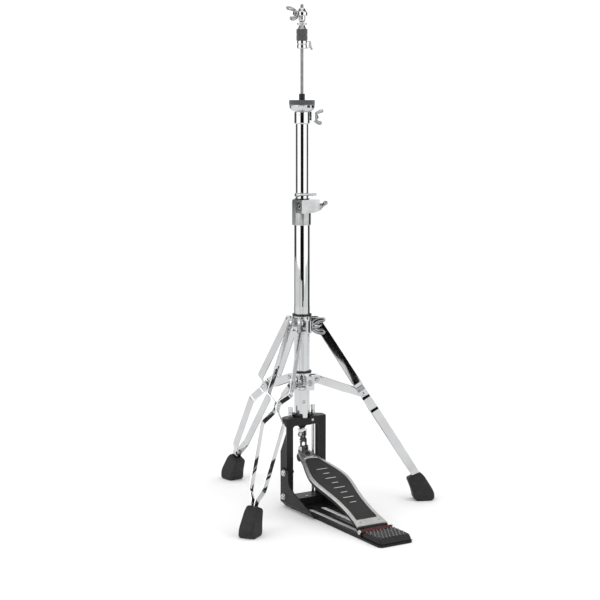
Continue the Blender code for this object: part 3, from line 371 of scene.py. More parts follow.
def lathe(name, prof, seg=72, centre=(0, 0, 0), axis="Z", phase=0.0, r=0.0, n=3):
    """Closed profile turned about the axis; corners rounded by r, except those on the axis."""
    if r:
        prof = fillet(prof, r, n, True, lambda i, p: p[0] <= 1e-9)
    verts, rows = [], []
    for rr, h in prof:
        if rr <= 1e-9:
            verts.append((0, 0, h))
            row = [len(verts) - 1] * seg
        else:
            row = []
            for i in range(seg):
                a = 2 * math.pi * i / seg + phase
                verts.append((rr * math.cos(a), rr * math.sin(a), h))
                row.append(len(verts) - 1)
        rows.append(row)
    faces = []
    m = len(rows)
    ring = prof[0][0] > 1e-9 and prof[-1][0] > 1e-9
    for k in range(m if ring else m - 1):
        a, b = rows[k], rows[(k + 1) % m]
        for i in range(seg):
            j = (i + 1) % seg
            q = [a[i], a[j], b[j], b[i]]
            f = [v for t, v in enumerate(q) if v not in q[:t]]
            if len(f) >= 3:
                faces.append(f)
    if axis == "X":
        verts = [(h, x, y) for x, y, h in verts]
    elif axis == "Y":
        verts = [(y, h, x) for x, y, h in verts]
    cx, cy, cz = centre
    return obj_from(name, [(x + cx, y + cy, z + cz) for x, y, z in verts], faces)


def rod(name, r, h0, h1, seg=48, centre=(0, 0, 0), axis="Z", e=0.0):
    return lathe(name, [(0, h0), (r, h0), (r, h1), (0, h1)], seg, centre, axis, 0.0, e)


def tube(name, r0, r1, h0, h1, seg=72, centre=(0, 0, 0), axis="Z", e=0.0):
    return lathe(name, [(r0, h0), (r1, h0), (r1, h1), (r0, h1)], seg, centre, axis, 0.0, e)


def tidy(ob):
    bm = bmesh.new()
    bm.from_mesh(ob.data)
    bmesh.ops.remove_doubles(bm, verts=bm.verts, dist=2e-6)
    bmesh.ops.dissolve_degenerate(bm, edges=bm.edges, dist=1e-6)
    bmesh.ops.recalc_face_normals(bm, faces=bm.faces)
    bm.to_mesh(ob.data)
    bm.free()
    return ob


def bake(ob):
    graph = bpy.context.evaluated_depsgraph_get()
    me = bpy.data.meshes.new_from_object(ob.evaluated_get(graph))
    ob.modifiers.clear()
    ob.data = me
    return ob


def combine(target, others, op):
    for o in others:
        md = target.modifiers.new("b", "BOOLEAN")
        md.operation = op
        md.solver = "EXACT"
        md.object = o
        bpy.context.view_layer.update()
        bake(target)
        bpy.data.objects.remove(o, do_unlink=True)
    return tidy(target)


def unite(t, *o):
    return combine(t, o, "UNION")


def cut(t, *o):
    return combine(t, o, "DIFFERENCE")


def join(target, *others):
    """Put separate closed shells into one object."""
    bm = bmesh.new()
    bm.from_mesh(target.data)
    for o in others:
        bm.from_mesh(o.data)
        bpy.data.objects.remove(o, do_unlink=True)
    bm.to_mesh(target.data)
    bm.free()
    return target


def move(ob, m):
    ob.data.transform(m)
    return ob


def rot(deg, axis, about=(0, 0, 0)):
    p = Vector(about)
    return Matrix.Translation(p) @ Matrix.Rotation(RAD(deg), 4, axis) @ Matrix.Translation(-p)


def rounded(x0, x1, y0, y1, r, n=6):
    pts = []
    for cx, cy, a0 in ((x1 - r, y1 - r, 0), (x0 + r, y1 - r, 90), (x0 + r, y0 + r, 180), (x1 - r, y0 + r, 270)):
        for i in range(n + 1):
            a = RAD(a0 + 90.0 * i / n)
            pts.append((cx + r * math.cos(a), cy + r * math.sin(a)))
    return pts


PIECES = []


def finish(ob, name, body, mat, replaces=(), bevel=0.0, seg=2, angle=38.0, sharp=32.0, weighted=True):
    """Round the edges, set the shading, give the finish and put the piece on its body."""
    ob.name = name
    ob.data.name = name
    if bevel:
        md = ob.modifiers.new("edge", "BEVEL")
        md.width = bevel
        md.segments = seg
        md.limit_method = "ANGLE"
        md.angle_limit = RAD(angle)
        md.use_clamp_overlap = True
        md.miter_outer = "MITER_ARC"
        bpy.context.view_layer.update()
        bake(ob)
    me = ob.data
    for p in me.polygons:
        p.use_smooth = True
    bm = bmesh.new()
    bm.from_mesh(me)
    for e in bm.edges:
        if len(e.link_faces) == 2:
            e.smooth = e.calc_face_angle(0.0) < RAD(sharp)
    bm.to_mesh(me)
    bm.free()
    if weighted:
        md = ob.modifiers.new("normals", "WEIGHTED_NORMAL")
        md.keep_sharp = True
        md.weight = 50
    me.materials.clear()
    me.materials.append(M[mat])
    for p in me.polygons:
        p.material_index = 0
    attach(ob, body)
    if replaces:
        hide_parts(*replaces)
    PIECES.append(ob)
    return ob


def sweep(name, path, section, up=(0, 0, 1), closed_path=False, scale=None):
    """Section [(a, b)] swept along 3-D points; a along the side vector, b along the other."""
    pts = [Vector(p) for p in path]
    n = len(pts)
    rings = []
    for i, p in enumerate(pts):
        if closed_path:
            t = (pts[(i + 1) % n] - pts[i - 1]).normalized()
        else:
            t = (pts[min(i + 1, n - 1)] - pts[max(i - 1, 0)]).normalized()
        u = Vector(up)
        s = t.cross(u).normalized()
        w = s.cross(t).normalized()
        k = scale[i] if scale else (1, 1)
        rings.append([p + s * (a * k[0]) + w * (b * k[1]) for a, b in section])
    return loft(name, rings, True, False, closed_path)


def ellipse(a, b, n=20):
    return [(a * math.cos(2 * math.pi * i / n), b * math.sin(2 * math.pi * i / n)) for i in range(n)]


def smooth_path(pts, steps=8):
    """Catmull-Rom through 2-D or 3-D points."""
    P = [Vector(p) for p in pts]
    P = [P[0] * 2 - P[1]] + P + [P[-1] * 2 - P[-2]]
    out = []
    for i in range(1, len(P) - 2):
        for j in range(steps):
            t = j / steps
            a, b, c, d = P[i - 1], P[i], P[i + 1], P[i + 2]
            out.append(0.5 * ((2 * b) + (c - a) * t + (2 * a - 5 * b + 4 * c - d) * t * t + (3 * b - a - 3 * c + d) * t ** 3))
    out.append(P[-2])
    return out


# ------------------------------------------------------------------ wing screws
def wing_body(hub_r, hub_len, span, rise, thick, lobe):
    """Cast wings along +X: hub from x=0, two curved wings in the XZ plane with round lobes."""
    parts = []
    s = span / 2
    for q in (1, -1):
        pts = smooth_path([(hub_len * 0.30, 0, q * hub_r * 0.2), (hub_len * 0.42, 0, q * s * 0.42), (rise * 0.55, 0, q * s * 0.70),
                           (rise - lobe * 0.9, 0, q * (s - lobe * 0.95))], 7)
        n = len(pts)
        rings = []
        for i, p in enumerate(pts):
            t = (pts[min(i + 1, n - 1)] - pts[max(i - 1, 0)]).normalized()
            w = Vector((t.z, 0, -t.x))
            f = i / (n - 1)
            wide = (hub_len * 0.36) * (1 - f) + lobe * f
            th = thick * (0.62 - 0.10 * f)
            rings.append([p + w * (wide * math.cos(2 * math.pi * k / 20)) + Vector((0, th * math.sin(2 * math.pi * k / 20), 0)) for k in range(20)])
        # dome end
        last = pts[-1]
        t = (pts[-1] - pts[-3]).normalized()
        w = Vector((t.z, 0, -t.x))
        for g in (0.35, 0.65, 0.88, 0.985):
            k2 = math.sqrt(1 - g * g)
            rings.append([last + t * (lobe * 0.95 * g) + w * (lobe * k2 * math.cos(2 * math.pi * k / 20)) + Vector((0, thick * 0.52 * k2 * math.sin(2 * math.pi * k / 20), 0)) for k in range(20)])
        parts.append(loft("w", rings))
    return parts


def wing_screw(shank_r, shank_len, hub_r, hub_len, span, rise, thick=0.0036, lobe=0.0042):
    hub = lathe("ws", [(0, -shank_len), (shank_r, -shank_len), (shank_r, 0), (hub_r * 0.86, 0), (hub_r, hub_len * 0.14),
                       (hub_r, hub_len * 0.42), (hub_r * 0.80, hub_len * 0.72), (hub_r * 0.52, hub_len), (0, hub_len)], 40, axis="X", r=0.0008)
    return unite(hub, *wing_body(hub_r, hub_len, span, rise, thick, lobe))


# ------------------------------------------------------------------ base plate, heel, frame
def base_plate():
    ob = prism("bp", rounded(-PLATE_W, PLATE_W, PLATE_Y0, PLATE_Y1, 0.009, 8), "Z", 0.0, PLATE_T)
    for sx in (-1, 1):
        slant = [(sx * 0.0345, 0.0006), (sx * 0.0384, 0.0), (sx * WING_X, 0.0119), (sx * WING_X, 0.0150),
                 (sx * (WING_X - 0.003), 0.0150), (sx * (WING_X - 0.003), 0.0131), (sx * 0.0372, 0.0030)]
        foot = prism("w1", slant, "Y", -0.1180, PLATE_Y1 - 0.0015)
        side = [(0.0, 0.0140), (0.0, 0.0815), (-0.0260, 0.0815), (-0.0285, 0.0790), (-0.0285, 0.0560), (-0.0330, 0.0500),
                (-0.0400, 0.0440), (-0.0500, 0.0380), (-0.0620, 0.0332), (-0.0754, 0.0290), (-0.0930, 0.0225), (-0.1080, 0.0170), (-0.1180, 0.0140)]
        x0, x1 = sorted((sx * (WING_X - 0.003), sx * WING_X))
        unite(ob, foot, prism("w2", side, "X", x0, x1))
    slots = [prism("s", rounded(x0, x1, -0.2480, -0.0500, 0.004, 5), "Z", -0.01, 0.02) for x0, x1 in ((-0.0255, -0.0060), (0.0060, 0.0255))]
    cut(ob, *slots)
    # raised edge lips that stiffen the plate, and a rib each side of the slots
    ribs = []
    for sx in (-1, 1):
        ribs.append(prism("r", rounded(min(sx * 0.0348, sx * 0.0380), max(sx * 0.0348, sx * 0.0380), -0.2780, -0.1200, 0.0012, 3), "Z", PLATE_T - 0.001, PLATE_T + 0.0042))
        ribs.append(prism("r", rounded(min(sx * 0.0265, sx * 0.0283), max(sx * 0.0265, sx * 0.0283), -0.2550, -0.0420, 0.0008, 3), "Z", PLATE_T - 0.001, PLATE_T + 0.0014))
    unite(ob, *ribs)
    return finish(ob, "base_plate_body", "base", "cast", ["base_plate"], 0.0005, 2)


def heel():
    prof = [(-0.2865, PLATE_T + GAP), (-0.2865, 0.0142), (-0.2885, 0.0152), (-0.3330, 0.0152), (-0.3385, 0.0134), (-0.3422, 0.0080), (-0.3432, PLATE_T + GAP)]
    rings = []
    for x, inset in ((-0.0362, 0.0035), (-0.0340, 0.0008), (-0.0325, 0.0), (0.0325, 0.0), (0.0340, 0.0008), (0.0362, 0.0035)):
        rings.append([(x, y + (inset if y < -0.31 else 0), z - (inset * 0.25 if z > 0.01 else 0)) for y, z in prof])
    ob = loft("heel", rings)
    finish(ob, "heel_plate_body", "base", "cast", ["heel_plate"], 0.0010, 3)
    shells = []
    rows = 7
    for j in range(rows):
        y = -0.2905 - j * 0.0070
        cnt = 9 if j % 2 == 0 else 8
        for i in range(cnt):
            x = (i - (cnt - 1) / 2) * 0.0078
            if y < -0.328 and abs(x) > 0.0285:
                continue
            z0 = 0.0150 if y > -0.3325 else 0.0142
            shells.append(lathe("n", [(0, z0), (0.0019, z0), (0.0017, z0 + 0.0017), (0.0012, z0 + 0.0023), (0, z0 + 0.0024)], 14, (x, y, 0), r=0.0003, n=2))
    finish(join(shells[0], *shells[1:]), "heel_grip_nubs", "base", "nub", (), 0, weighted=False)


def pedal_frame():
    def upright(sx):
        def ring(z, d, e):
            return [(sx * FRAME_W, FRAME_Y0, z), (sx * FRAME_IN, FRAME_Y0, z), (sx * FRAME_IN, FRAME_Y1, z), (sx * e[0], e[1], z), (sx * d[0], d[1], z)]
        wide, waist, top = ((0.0470, 0.0080), (0.0395, 0.0080)), ((0.0385, 0.0), (0.0360, 0.0)), ((0.0490, 0.0020), (0.0400, 0.0060))
        return loft("up", [ring(0.0140, *wide), ring(0.1150, *wide), ring(0.1520, *waist), ring(0.1660, *waist), ring(0.1790, *top), ring(0.1825, *top)], tri=True)
    slab = [(-0.0470, FRAME_Y0), (0.0470, FRAME_Y0), (0.0495, 0.0010), (0.0390, 0.0090), (0.0120, 0.0165), (-0.0120, 0.0165), (-0.0390, 0.0090), (-0.0495, 0.0010)]
    ob = prism("pf", slab, "Z", 0.1697, FRAME_TOP)
    bar = box("bar", -0.0372, 0.0372, -0.0300, 0.0080, PLATE_T + 0.0004, 0.0200)
    ring = [(0.0205 * math.cos(2 * math.pi * k / 64), max(-0.0177, 0.0205 * math.sin(2 * math.pi * k / 64))) for k in range(64)]
    boss = prism("boss", ring, "Z", 0.1687, 0.1905)
    cone = lathe("cone", [(0, 0.1615), (0.0065, 0.1615), (0.0120, 0.1691), (0.0120, 0.1750), (0, 0.1750)], 48)
    unite(ob, upright(-1), upright(1), bar, boss, cone)
    fill = []
    for sx in (-1, 1):
        arc = [(sx * 0.0330, 0.1710)] + [(sx * (0.0250 + 0.0068 * math.sin(RAD(a))), 0.1629 + 0.0068 * math.cos(RAD(a)) + 0.0003) for a in range(90, -1, -10)]
        fill.append(prism("f", arc, "Y", FRAME_Y0 + 0.0004, FRAME_Y1 - 0.0004))
    unite(ob, *fill)
    socket = rod("socket", TUBE_R + GAP, TUBE_Z0 - GAP, 0.30, 72)
    notch = box("notch", -0.0085, 0.0085, -0.0300, -0.0050, TUBE_Z0 + 0.0001, 0.20)
    hole = rod("hole", 0.0046, 0.10, 0.20, 32)
    spurs = [rod("sp", 0.0034, -0.01, 0.25, 28, (sx * SPUR_X, SPUR_Y, 0)) for sx in (-1, 1)]
    cut(ob, socket, notch, hole, *spurs)
    finish(ob, "pedal_frame_body", "base", "cast", ["pedal_frame"], 0.0007, 2)
    # set screws in the top bar and cross bar, plain domed heads
    for k, (x, y, z, ax) in enumerate(((0.0150, FRAME_Y0, 0.1785, "Y"), (0.0, -0.0200, 0.0200, "Z"))):
        if ax == "Y":
            s = lathe("s", [(0, -0.0009), (0.0026, -0.0009), (0.0030, -0.0003), (0.0030, 0.0006), (0, 0.0006)], 28, (x, y, z), "Y", r=0.0003)
            h = lathe("h", [(0, -0.003), (0.0013, -0.003), (0.0013, -0.0003), (0, -0.0003)], 6, (x, y, z), "Y")
        else:
            s = lathe("s", [(0, -0.0004), (0.0030, -0.0004), (0.0030, 0.0004), (0.0024, 0.0010), (0, 0.0010)], 28, (x, y, z), "Z", r=0.0003)
            h = lathe("h", [(0, 0.0003), (0.0013, 0.0003), (0.0013, 0.004), (0, 0.004)], 6, (x, y, z), "Z")
        finish(cut(s, h), "frame_set_screw_%d" % k, "base", "steel", ())


def spurs():
    for side, sx in (("left", -1), ("right", 1)):
        prof = [(0, 0.0055), (0.0014, 0.0055), (0.0030, 0.0105), (0.0030, 0.1872), (0.0047, 0.1878), (0.0047, 0.1915), (0.0041, 0.1922), (0.0041, 0.1945), (0.0047, 0.1952), (0.0047, 0.2045), (0.0036, 0.2062), (0, 0.2062)]
        ob = lathe("sp", prof, 48, (sx * SPUR_X, SPUR_Y, 0), r=0.0003)
        # knurl: shallow vertical flutes on the head
        bm = bmesh.new()
        bm.from_mesh(ob.data)
        for v in bm.verts:
            x, y = v.co.x - sx * SPUR_X, v.co.y - SPUR_Y
            rr = math.hypot(x, y)
            if rr > 0.0045 and v.co.z > 0.1955:
                a = math.atan2(y, x)
                k = 1 - 0.05 * (0.5 + 0.5 * math.cos(a * 24))
                v.co.x, v.co.y = sx * SPUR_X + x * k, SPUR_Y + y * k
        bm.to_mesh(ob.data)
        bm.free()
        finish(ob, "anchor_spur_%s_rod" % side, "spur_" + side, "chrome", ["anchor_spur_" + side])
        # return collar: a lock nut on the frame top
        nut = lathe("ln", [(0.0034, FRAME_TOP + 0.0001), (0.0056, FRAME_TOP + 0.0001), (0.0056, FRAME_TOP + 0.0009), (0.0034, FRAME_TOP + 0.0009)], 6, (sx * SPUR_X, SPUR_Y, 0))
        finish(nut, "anchor_spur_%s_seat" % side, "base", "steel", (), 0.0002)


def hex_bolts():
    for side, sx in (("left", -1), ("right", 1)):
        for tag, y, z in (("upper", -0.0125, 0.0735), ("lower", -0.0115, 0.0238)):
            hexh = lathe("h", [(0, 0), (0.0060, 0), (0.0060, 0.0036), (0.0051, 0.0042), (0, 0.0042)], 6, axis="X", phase=0.3)
            sock = lathe("k", [(0, 0.0020), (0.0027, 0.0020), (0.0027, 0.006), (0, 0.006)], 6, axis="X", phase=0.3)
            cut(hexh, sock)
            wash = lathe("w", [(0, -0.0002), (0.0068, -0.0002), (0.0068, 0.0008), (0.0064, 0.0011), (0, 0.0011)], 48, axis="X", r=0.0002)
            o = join(hexh, wash)
            if sx < 0:
                move(o, Matrix.Rotation(math.pi, 4, "Z"))
            move(o, Matrix.Translation((sx * (WING_X + GAP + 0.0002), y, z)))
            finish(o, "frame_bolt_%s_%s_head" % (side, tag), "base", "chrome", ["frame_bolt_%s_%s" % (side, tag)], 0.0003)
    # bolt ends inside the left upright
    for sx in (-1, 1):
        for z in (0.0735,):
            s = lathe("be", [(0, 0), (0.0034, 0), (0.0034, 0.0042), (0.0026, 0.0050), (0, 0.0050)], 28, axis="X", r=0.0003)
            if sx > 0:
                move(s, Matrix.Rotation(math.pi, 4, "Z"))
            move(s, Matrix.Translation((sx * (FRAME_IN + 0.0002), -0.0105, z)))
            finish(s, "frame_bolt_end_%s" % ("left" if sx < 0 else "right"), "base", "cast", ())


# ------------------------------------------------------------------ footboard
def board_z(y):
    u = (y + 0.262) / 0.232
    hump = BOARD_HUMP * 4 * u * (1 - u) if 0 < u < 1 else 0.0
    return BOARD_Z0 + BOARD_SLOPE * (y + 0.262) + hump


def width_lin(y):
    for (ya, wa), (yb, wb) in zip(BOARD, BOARD[1:]):
        if ya <= y <= yb:
            return wa + (wb - wa) * (y - ya) / (yb - ya)
    return BOARD[0][1] if y < BOARD[0][0] else BOARD[-1][1]


_B = smooth_path([(y, w) for y, w in BOARD], 6)


def width_at(y):
    if y <= _B[0].x:
        return _B[0].y
    for a, b in zip(_B, _B[1:]):
        if a.x <= y <= b.x and b.x > a.x:
            return a.y + (b.y - a.y) * (y - a.x) / (b.x - a.x)
    return _B[-1].y


def footboard():
    ys = sorted(set([round(v.x, 6) for v in _B] + [INSERT_Y0, INSERT_Y0 - 0.0006, INSERT_Y1, INSERT_Y1 + 0.0006]))
    rings = []
    for y in ys:
        w, z = width_at(y), board_z(y)
        sunk = 1.0 if INSERT_Y0 - 1e-6 <= y <= INSERT_Y1 + 1e-6 else 0.0
        d = 0.0013 * sunk
        i = w - RIM if w > RIM * 1.5 else w * 0.4
        t, side = 0.0032, BOARD_SIDE
        k = 0.0012
        rings.append([(-w, y, z - k), (-w + k * 0.13, y, z - k * 0.5), (-w + k * 0.5, y, z - k * 0.13), (-w + k, y, z), (-i - 0.0007, y, z), (-i - 0.0002, y, z - 0.0002 * (1 if sunk else 0)), (-i, y, z - d),
                      (i, y, z - d), (i + 0.0002, y, z - 0.0002 * (1 if sunk else 0)), (i + 0.0007, y, z), (w - k, y, z), (w - k * 0.5, y, z - k * 0.13), (w - k * 0.13, y, z - k * 0.5), (w, y, z - k),
                      (w, y, z - side * 0.45), (w - 0.0024, y, z - side * 0.46), (w - 0.0024, y, z - t - 0.0008),
                      (-w + 0.0024, y, z - t - 0.0008), (-w + 0.0024, y, z - side * 0.46), (-w, y, z - side * 0.45)])
    ob = loft("fb", rings, tri=False)
    # two small countersunk marks in the heel band
    for x in (-0.0215, 0.0215):
        c = lathe("c", [(0, -0.0012), (0.0014, -0.0012), (0.0020, 0.002), (0, 0.002)], 20)
        move(c, Matrix.Translation((x, -0.2530, board_z(-0.2530))) @ Matrix.Rotation(math.atan(BOARD_SLOPE), 4, "X"))
        cut(ob, c)
    finish(ob, "footboard_rim", "footboard", "satin", ["footboard"], 0, sharp=40)
    # black side skirts and the underside, which run down to the hinge
    for sx in (-1, 1):
        rings = []
        for y in [v.x for v in _B]:
            w, z = width_at(y) + 0.00015, board_z(y)
            u = (y - _B[0].x) / (_B[-1].x - _B[0].x)
            deep = BOARD_SIDE + 0.0018 * math.sin(math.pi * min(1, max(0, u)))
            za, zb = z - BOARD_SIDE * 0.42, z - deep
            rings.append([(sx * w, y, za), (sx * w, y, zb + 0.0008), (sx * (w - 0.0008), y, zb), (sx * (w - 0.0028), y, zb), (sx * (w - 0.0034), y, zb + 0.0008), (sx * (w - 0.0034), y, za)])
        finish(loft("sk", rings), "footboard_skirt_%s" % ("left" if sx < 0 else "right"), "footboard", "cast", (), 0)
    under = []
    for y in [v.x for v in _B]:
        w, z = width_at(y) - 0.0030, board_z(y)
        under.append([(-w, y, z - 0.0041), (w, y, z - 0.0041), (w, y, z - 0.0050), (-w, y, z - 0.0050)])
    ub = loft("ub", under)
    ribs = []
    for x in (-0.010, 0.010):
        rr = []
        for y in [v.x for v in _B if v.x < -0.020]:
            z = board_z(y)
            rr.append([(x - 0.0012, y, z - 0.0048), (x + 0.0012, y, z - 0.0048), (x + 0.0009, y, z - 0.0088), (x - 0.0009, y, z - 0.0088)])
        ribs.append(loft("r", rr))
    join(ub, *ribs)
    finish(ub, "footboard_underside", "footboard", "cast", ())
    # heel knuckle
    kn = lathe("kn", [(0.0024, -0.0228), (0.0047, -0.0228), (0.0047, 0.0228), (0.0024, 0.0228)], 48, (0, HINGE_Y, HINGE_Z), "X", r=0.0003)
    web = prism("web", [(-0.2712, 0.0104), (-0.2712, 0.0146), (-0.2655, 0.0190), (-0.2600, 0.0200), (-0.2600, 0.0130), (-0.2640, 0.0104)], "X", -0.0228, 0.0228, 0.001)
    wide = prism("wd", [(-0.2655, 0.0108), (-0.2655, 0.0178), (-0.2600, 0.0196), (-0.2560, 0.0170), (-0.2580, 0.0108)], "X", -0.0338, 0.0338, 0.001)
    finish(join(web, wide), "footboard_heel_web", "footboard", "cast", (), 0.0003)
    finish(kn, "footboard_knuckle", "footboard", "hinge", (), 0)


def toe():
    # rounded black lobes below the toe, carrying the chain's end
    for sx in (-1, 1):
        pts = [(-0.0105 + 0.0088 * math.cos(RAD(a)), 0.1010 + 0.0088 * math.sin(RAD(a))) for a in range(-150, 96, 8)]
        pts += [(-0.0200, board_z(-0.0200) - 0.0030), (-0.0300, board_z(-0.0300) - 0.0030), (-0.0330, board_z(-0.0330) - 0.0080)]
        x0, x1 = sorted((sx * 0.0112, sx * 0.0142))
        finish(prism("lobe", pts, "X", x0, x1), "toe_lobe_%s" % ("left" if sx < 0 else "right"), "footboard", "cast", (), 0.0006, 3)

    def z(y):
        return board_z(y) + GAP
    rings = []
    for y in (-0.0325, -0.0260, -0.0200, -0.0140, -0.0080, -0.0015):
        w = 0.0098
        rings.append([(-w, y, z(y)), (w, y, z(y)), (w, y, z(y) + 0.0014), (w - 0.0006, y, z(y) + 0.0020), (-w + 0.0006, y, z(y) + 0.0020), (-w, y, z(y) + 0.0014)])
    ob = loft("tb", rings)
    ears = []
    for sx in (-1, 1):
        x0, x1 = sorted((sx * 0.0078, sx * 0.0098))
        pts = [(-0.0125, 0.1130), (-0.0015, 0.1168)] + [(-0.0068 + 0.0048 * math.cos(RAD(a)), 0.1200 + 0.0042 * math.sin(RAD(a))) for a in range(0, 181, 12)]
        ears.append(prism("e", pts, "X", x0, x1))
    unite(ob, *ears)
    finish(ob, "toe_strap", "footboard", "satin", ["toe_bracket"], 0.0004)
    tb = lathe("tb", [(0, 0.0), (0.0052, 0.0), (0.0052, 0.0010), (0.0042, 0.0014), (0.0040, 0.0028), (0.0034, 0.0034), (0, 0.0034)], 48, r=0.0003)
    hx = lathe("hx", [(0, 0.0014), (0.0019, 0.0014), (0.0019, 0.006), (0, 0.006)], 6)
    cut(tb, hx)
    move(tb, Matrix.Translation((0, -0.0230, board_z(-0.0230) + GAP + 0.0026)) @ Matrix.Rotation(math.atan(BOARD_SLOPE), 4, "X"))
    finish(tb, "toe_bolt_head", "footboard", "chain", ["toe_bolt"])


def insert():
    ys = sorted([INSERT_Y0 + 0.0006, INSERT_Y0 + 0.0014, INSERT_Y0 + 0.0026, INSERT_Y0 + 0.0042] + [v.x for v in _B if INSERT_Y0 + 0.006 < v.x < INSERT_Y1 - 0.007]
                + [INSERT_Y1 - 0.0062, INSERT_Y1 - 0.0042, INSERT_Y1 - 0.0026, INSERT_Y1 - 0.0014, INSERT_Y1 - 0.0006])
    rings = []
    for y in ys:
        i = width_at(y) - RIM - 0.0007
        e0, e1 = y - (INSERT_Y0 + 0.0006), (INSERT_Y1 - 0.0006) - y
        for e, rr in ((e0, 0.0036), (e1, 0.0056)):
            if e < rr:
                i -= rr - math.sqrt(max(0.0, rr * rr - (rr - e) ** 2))
        z = board_z(y)
        rings.append([(-i, y, z - 0.0011), (-i, y, z - 0.0003), (-i + 0.0005, y, z + 0.0001), (-i * 0.5, y, z + 0.0002), (0, y, z + 0.00025), (i * 0.5, y, z + 0.0002), (i - 0.0005, y, z + 0.0001), (i, y, z - 0.0003), (i, y, z - 0.0011)])
    finish(loft("in", rings), "footboard_grip", "footboard", "insert", ["footboard_insert"])
    # raised grip marks: plain bars across the board
    shells = []

    def on(x, y, h=0.0004):
        return Vector((x, y, board_z(y) + 0.0002 + h))
    for k in range(8):
        yy = -0.0780 - 0.0165 * k
        w = 0.0125 if k % 2 == 0 else 0.0075
        line = [on(-w + 2 * w * j / 14.0, yy, 0.0003) for j in range(15)]
        shells.append(sweep("g", line, ellipse(0.0011, 0.00045, 10), scale=[(min(1.0, 0.35 + 3.2 * min(j, 14 - j) / 14.0), 1) for j in range(15)]))
    finish(join(shells[0], *shells[1:]), "footboard_grip_marks", "footboard", "paint", (), 0, weighted=False)


# ------------------------------------------------------------------ chain and rod end
def link_plate(pa, pb, x0, x1, r=0.0041, waist=0.0029, n=10):
    d = Vector((pb[0] - pa[0], pb[1] - pa[1]))
    ln = d.length
    d = d / ln
    nn = Vector((-d.y, d.x))
    pts = []
    for i in range(n + 1):
        a = RAD(110 + 140.0 * i / n)
        v = d * math.cos(a) + nn * math.sin(a)
        pts.append((pa[0] + v.x * r, pa[1] + v.y * r))
    m = Vector(pa) + d * ln * 0.5 - nn * waist
    pts.append((m.x, m.y))
    for i in range(n + 1):
        a = RAD(-70 + 140.0 * i / n)
        v = d * math.cos(a) + nn * math.sin(a)
        pts.append((pb[0] + v.x * r, pb[1] + v.y * r))
    m = Vector(pa) + d * ln * 0.5 + nn * waist
    pts.append((m.x, m.y))
    return prism("lp", pts, "X", x0, x1)


def chain():
    pins = [(-0.0030, 0.1490), (-0.0049, 0.1347), (-0.0068, 0.1204)]
    plates = []
    for pa, pb, half in ((pins[0], pins[1], 0.0048), (pins[1], pins[2], 0.0064)):
        for sx in (-1, 1):
            x0, x1 = sorted((sx * half, sx * (half - 0.0013)))
            plates.append(link_plate(pa, pb, x0, x1, 0.0047, 0.0032))
    # inner plates of the lower link
    for sx in (-1, 1):
        x0, x1 = sorted((sx * 0.0027, sx * 0.0014))
        plates.append(link_plate(pins[0], pins[1], x0, x1, 0.0036, 0.0022))
    o = join(plates[0], *plates[1:])
    finish(o, "chain_plates", "chain", "chain", ["drive_chain"], 0.0003)
    rollers = [lathe("r", [(0, -0.0028), (0.0036, -0.0028), (0.0036, 0.0028), (0, 0.0028)], 32, (0,) + pins[1], "X", r=0.0005),
               lathe("r", [(0, -0.0042), (0.0036, -0.0042), (0.0036, 0.0042), (0, 0.0042)], 32, (0,) + pins[2], "X", r=0.0005)]
    finish(join(*rollers), "chain_rollers", "chain", "chain", ())
    heads = []
    for (yy, zz), h in zip(pins, (0.0052, 0.0070, 0.0074)):
        heads.append(lathe("p", [(0, -h), (0.0014, -h), (0.0019, -h + 0.0004), (0.0019, h - 0.0004), (0.0014, h), (0, h)], 24, (0, yy, zz), "X", r=0.0002))
    finish(join(*heads), "chain_pins", "chain", "steel", ())


def connector():
    ob = box("rc", -0.0078, 0.0078, -0.0072, 0.0050, 0.1548, 0.1585)
    cheeks = []
    for sx in (-1, 1):
        x0, x1 = sorted((sx * 0.0054, sx * 0.0078))
        pts = [(0.0012, 0.1560)] + [(-0.0030 + 0.0042 * math.cos(RAD(a)), 0.1472 + 0.0042 * math.sin(RAD(a))) for a in range(0, -181, -15)] + [(-0.0072, 0.1560)]
        cheeks.append(prism("c", pts, "X", x0, x1))
    unite(ob, *cheeks)
    cut(ob, rod("h", ROD_R + GAP, 0.1540, 0.17, 32))
    finish(ob, "rod_end_clevis", "pull_rod", "chrome", ["rod_connector"], 0.0004)
    ring = lathe("cr", [(0.0026, -0.0095), (0.0050, -0.0095), (0.0050, -0.0079), (0.0026, -0.0079)], 48, (0, -0.0030, 0.1472), "X", r=0.0004)
    finish(ring, "clevis_pin_ring", "pull_rod", "steel", ())
    nut = lathe("n", [(0.0033, 0.1587), (0.0068, 0.1587), (0.0068, 0.1606), (0.0033, 0.1606)], 6)
    finish(nut, "rod_end_nut", "pull_rod", "steel", (), 0.0003)


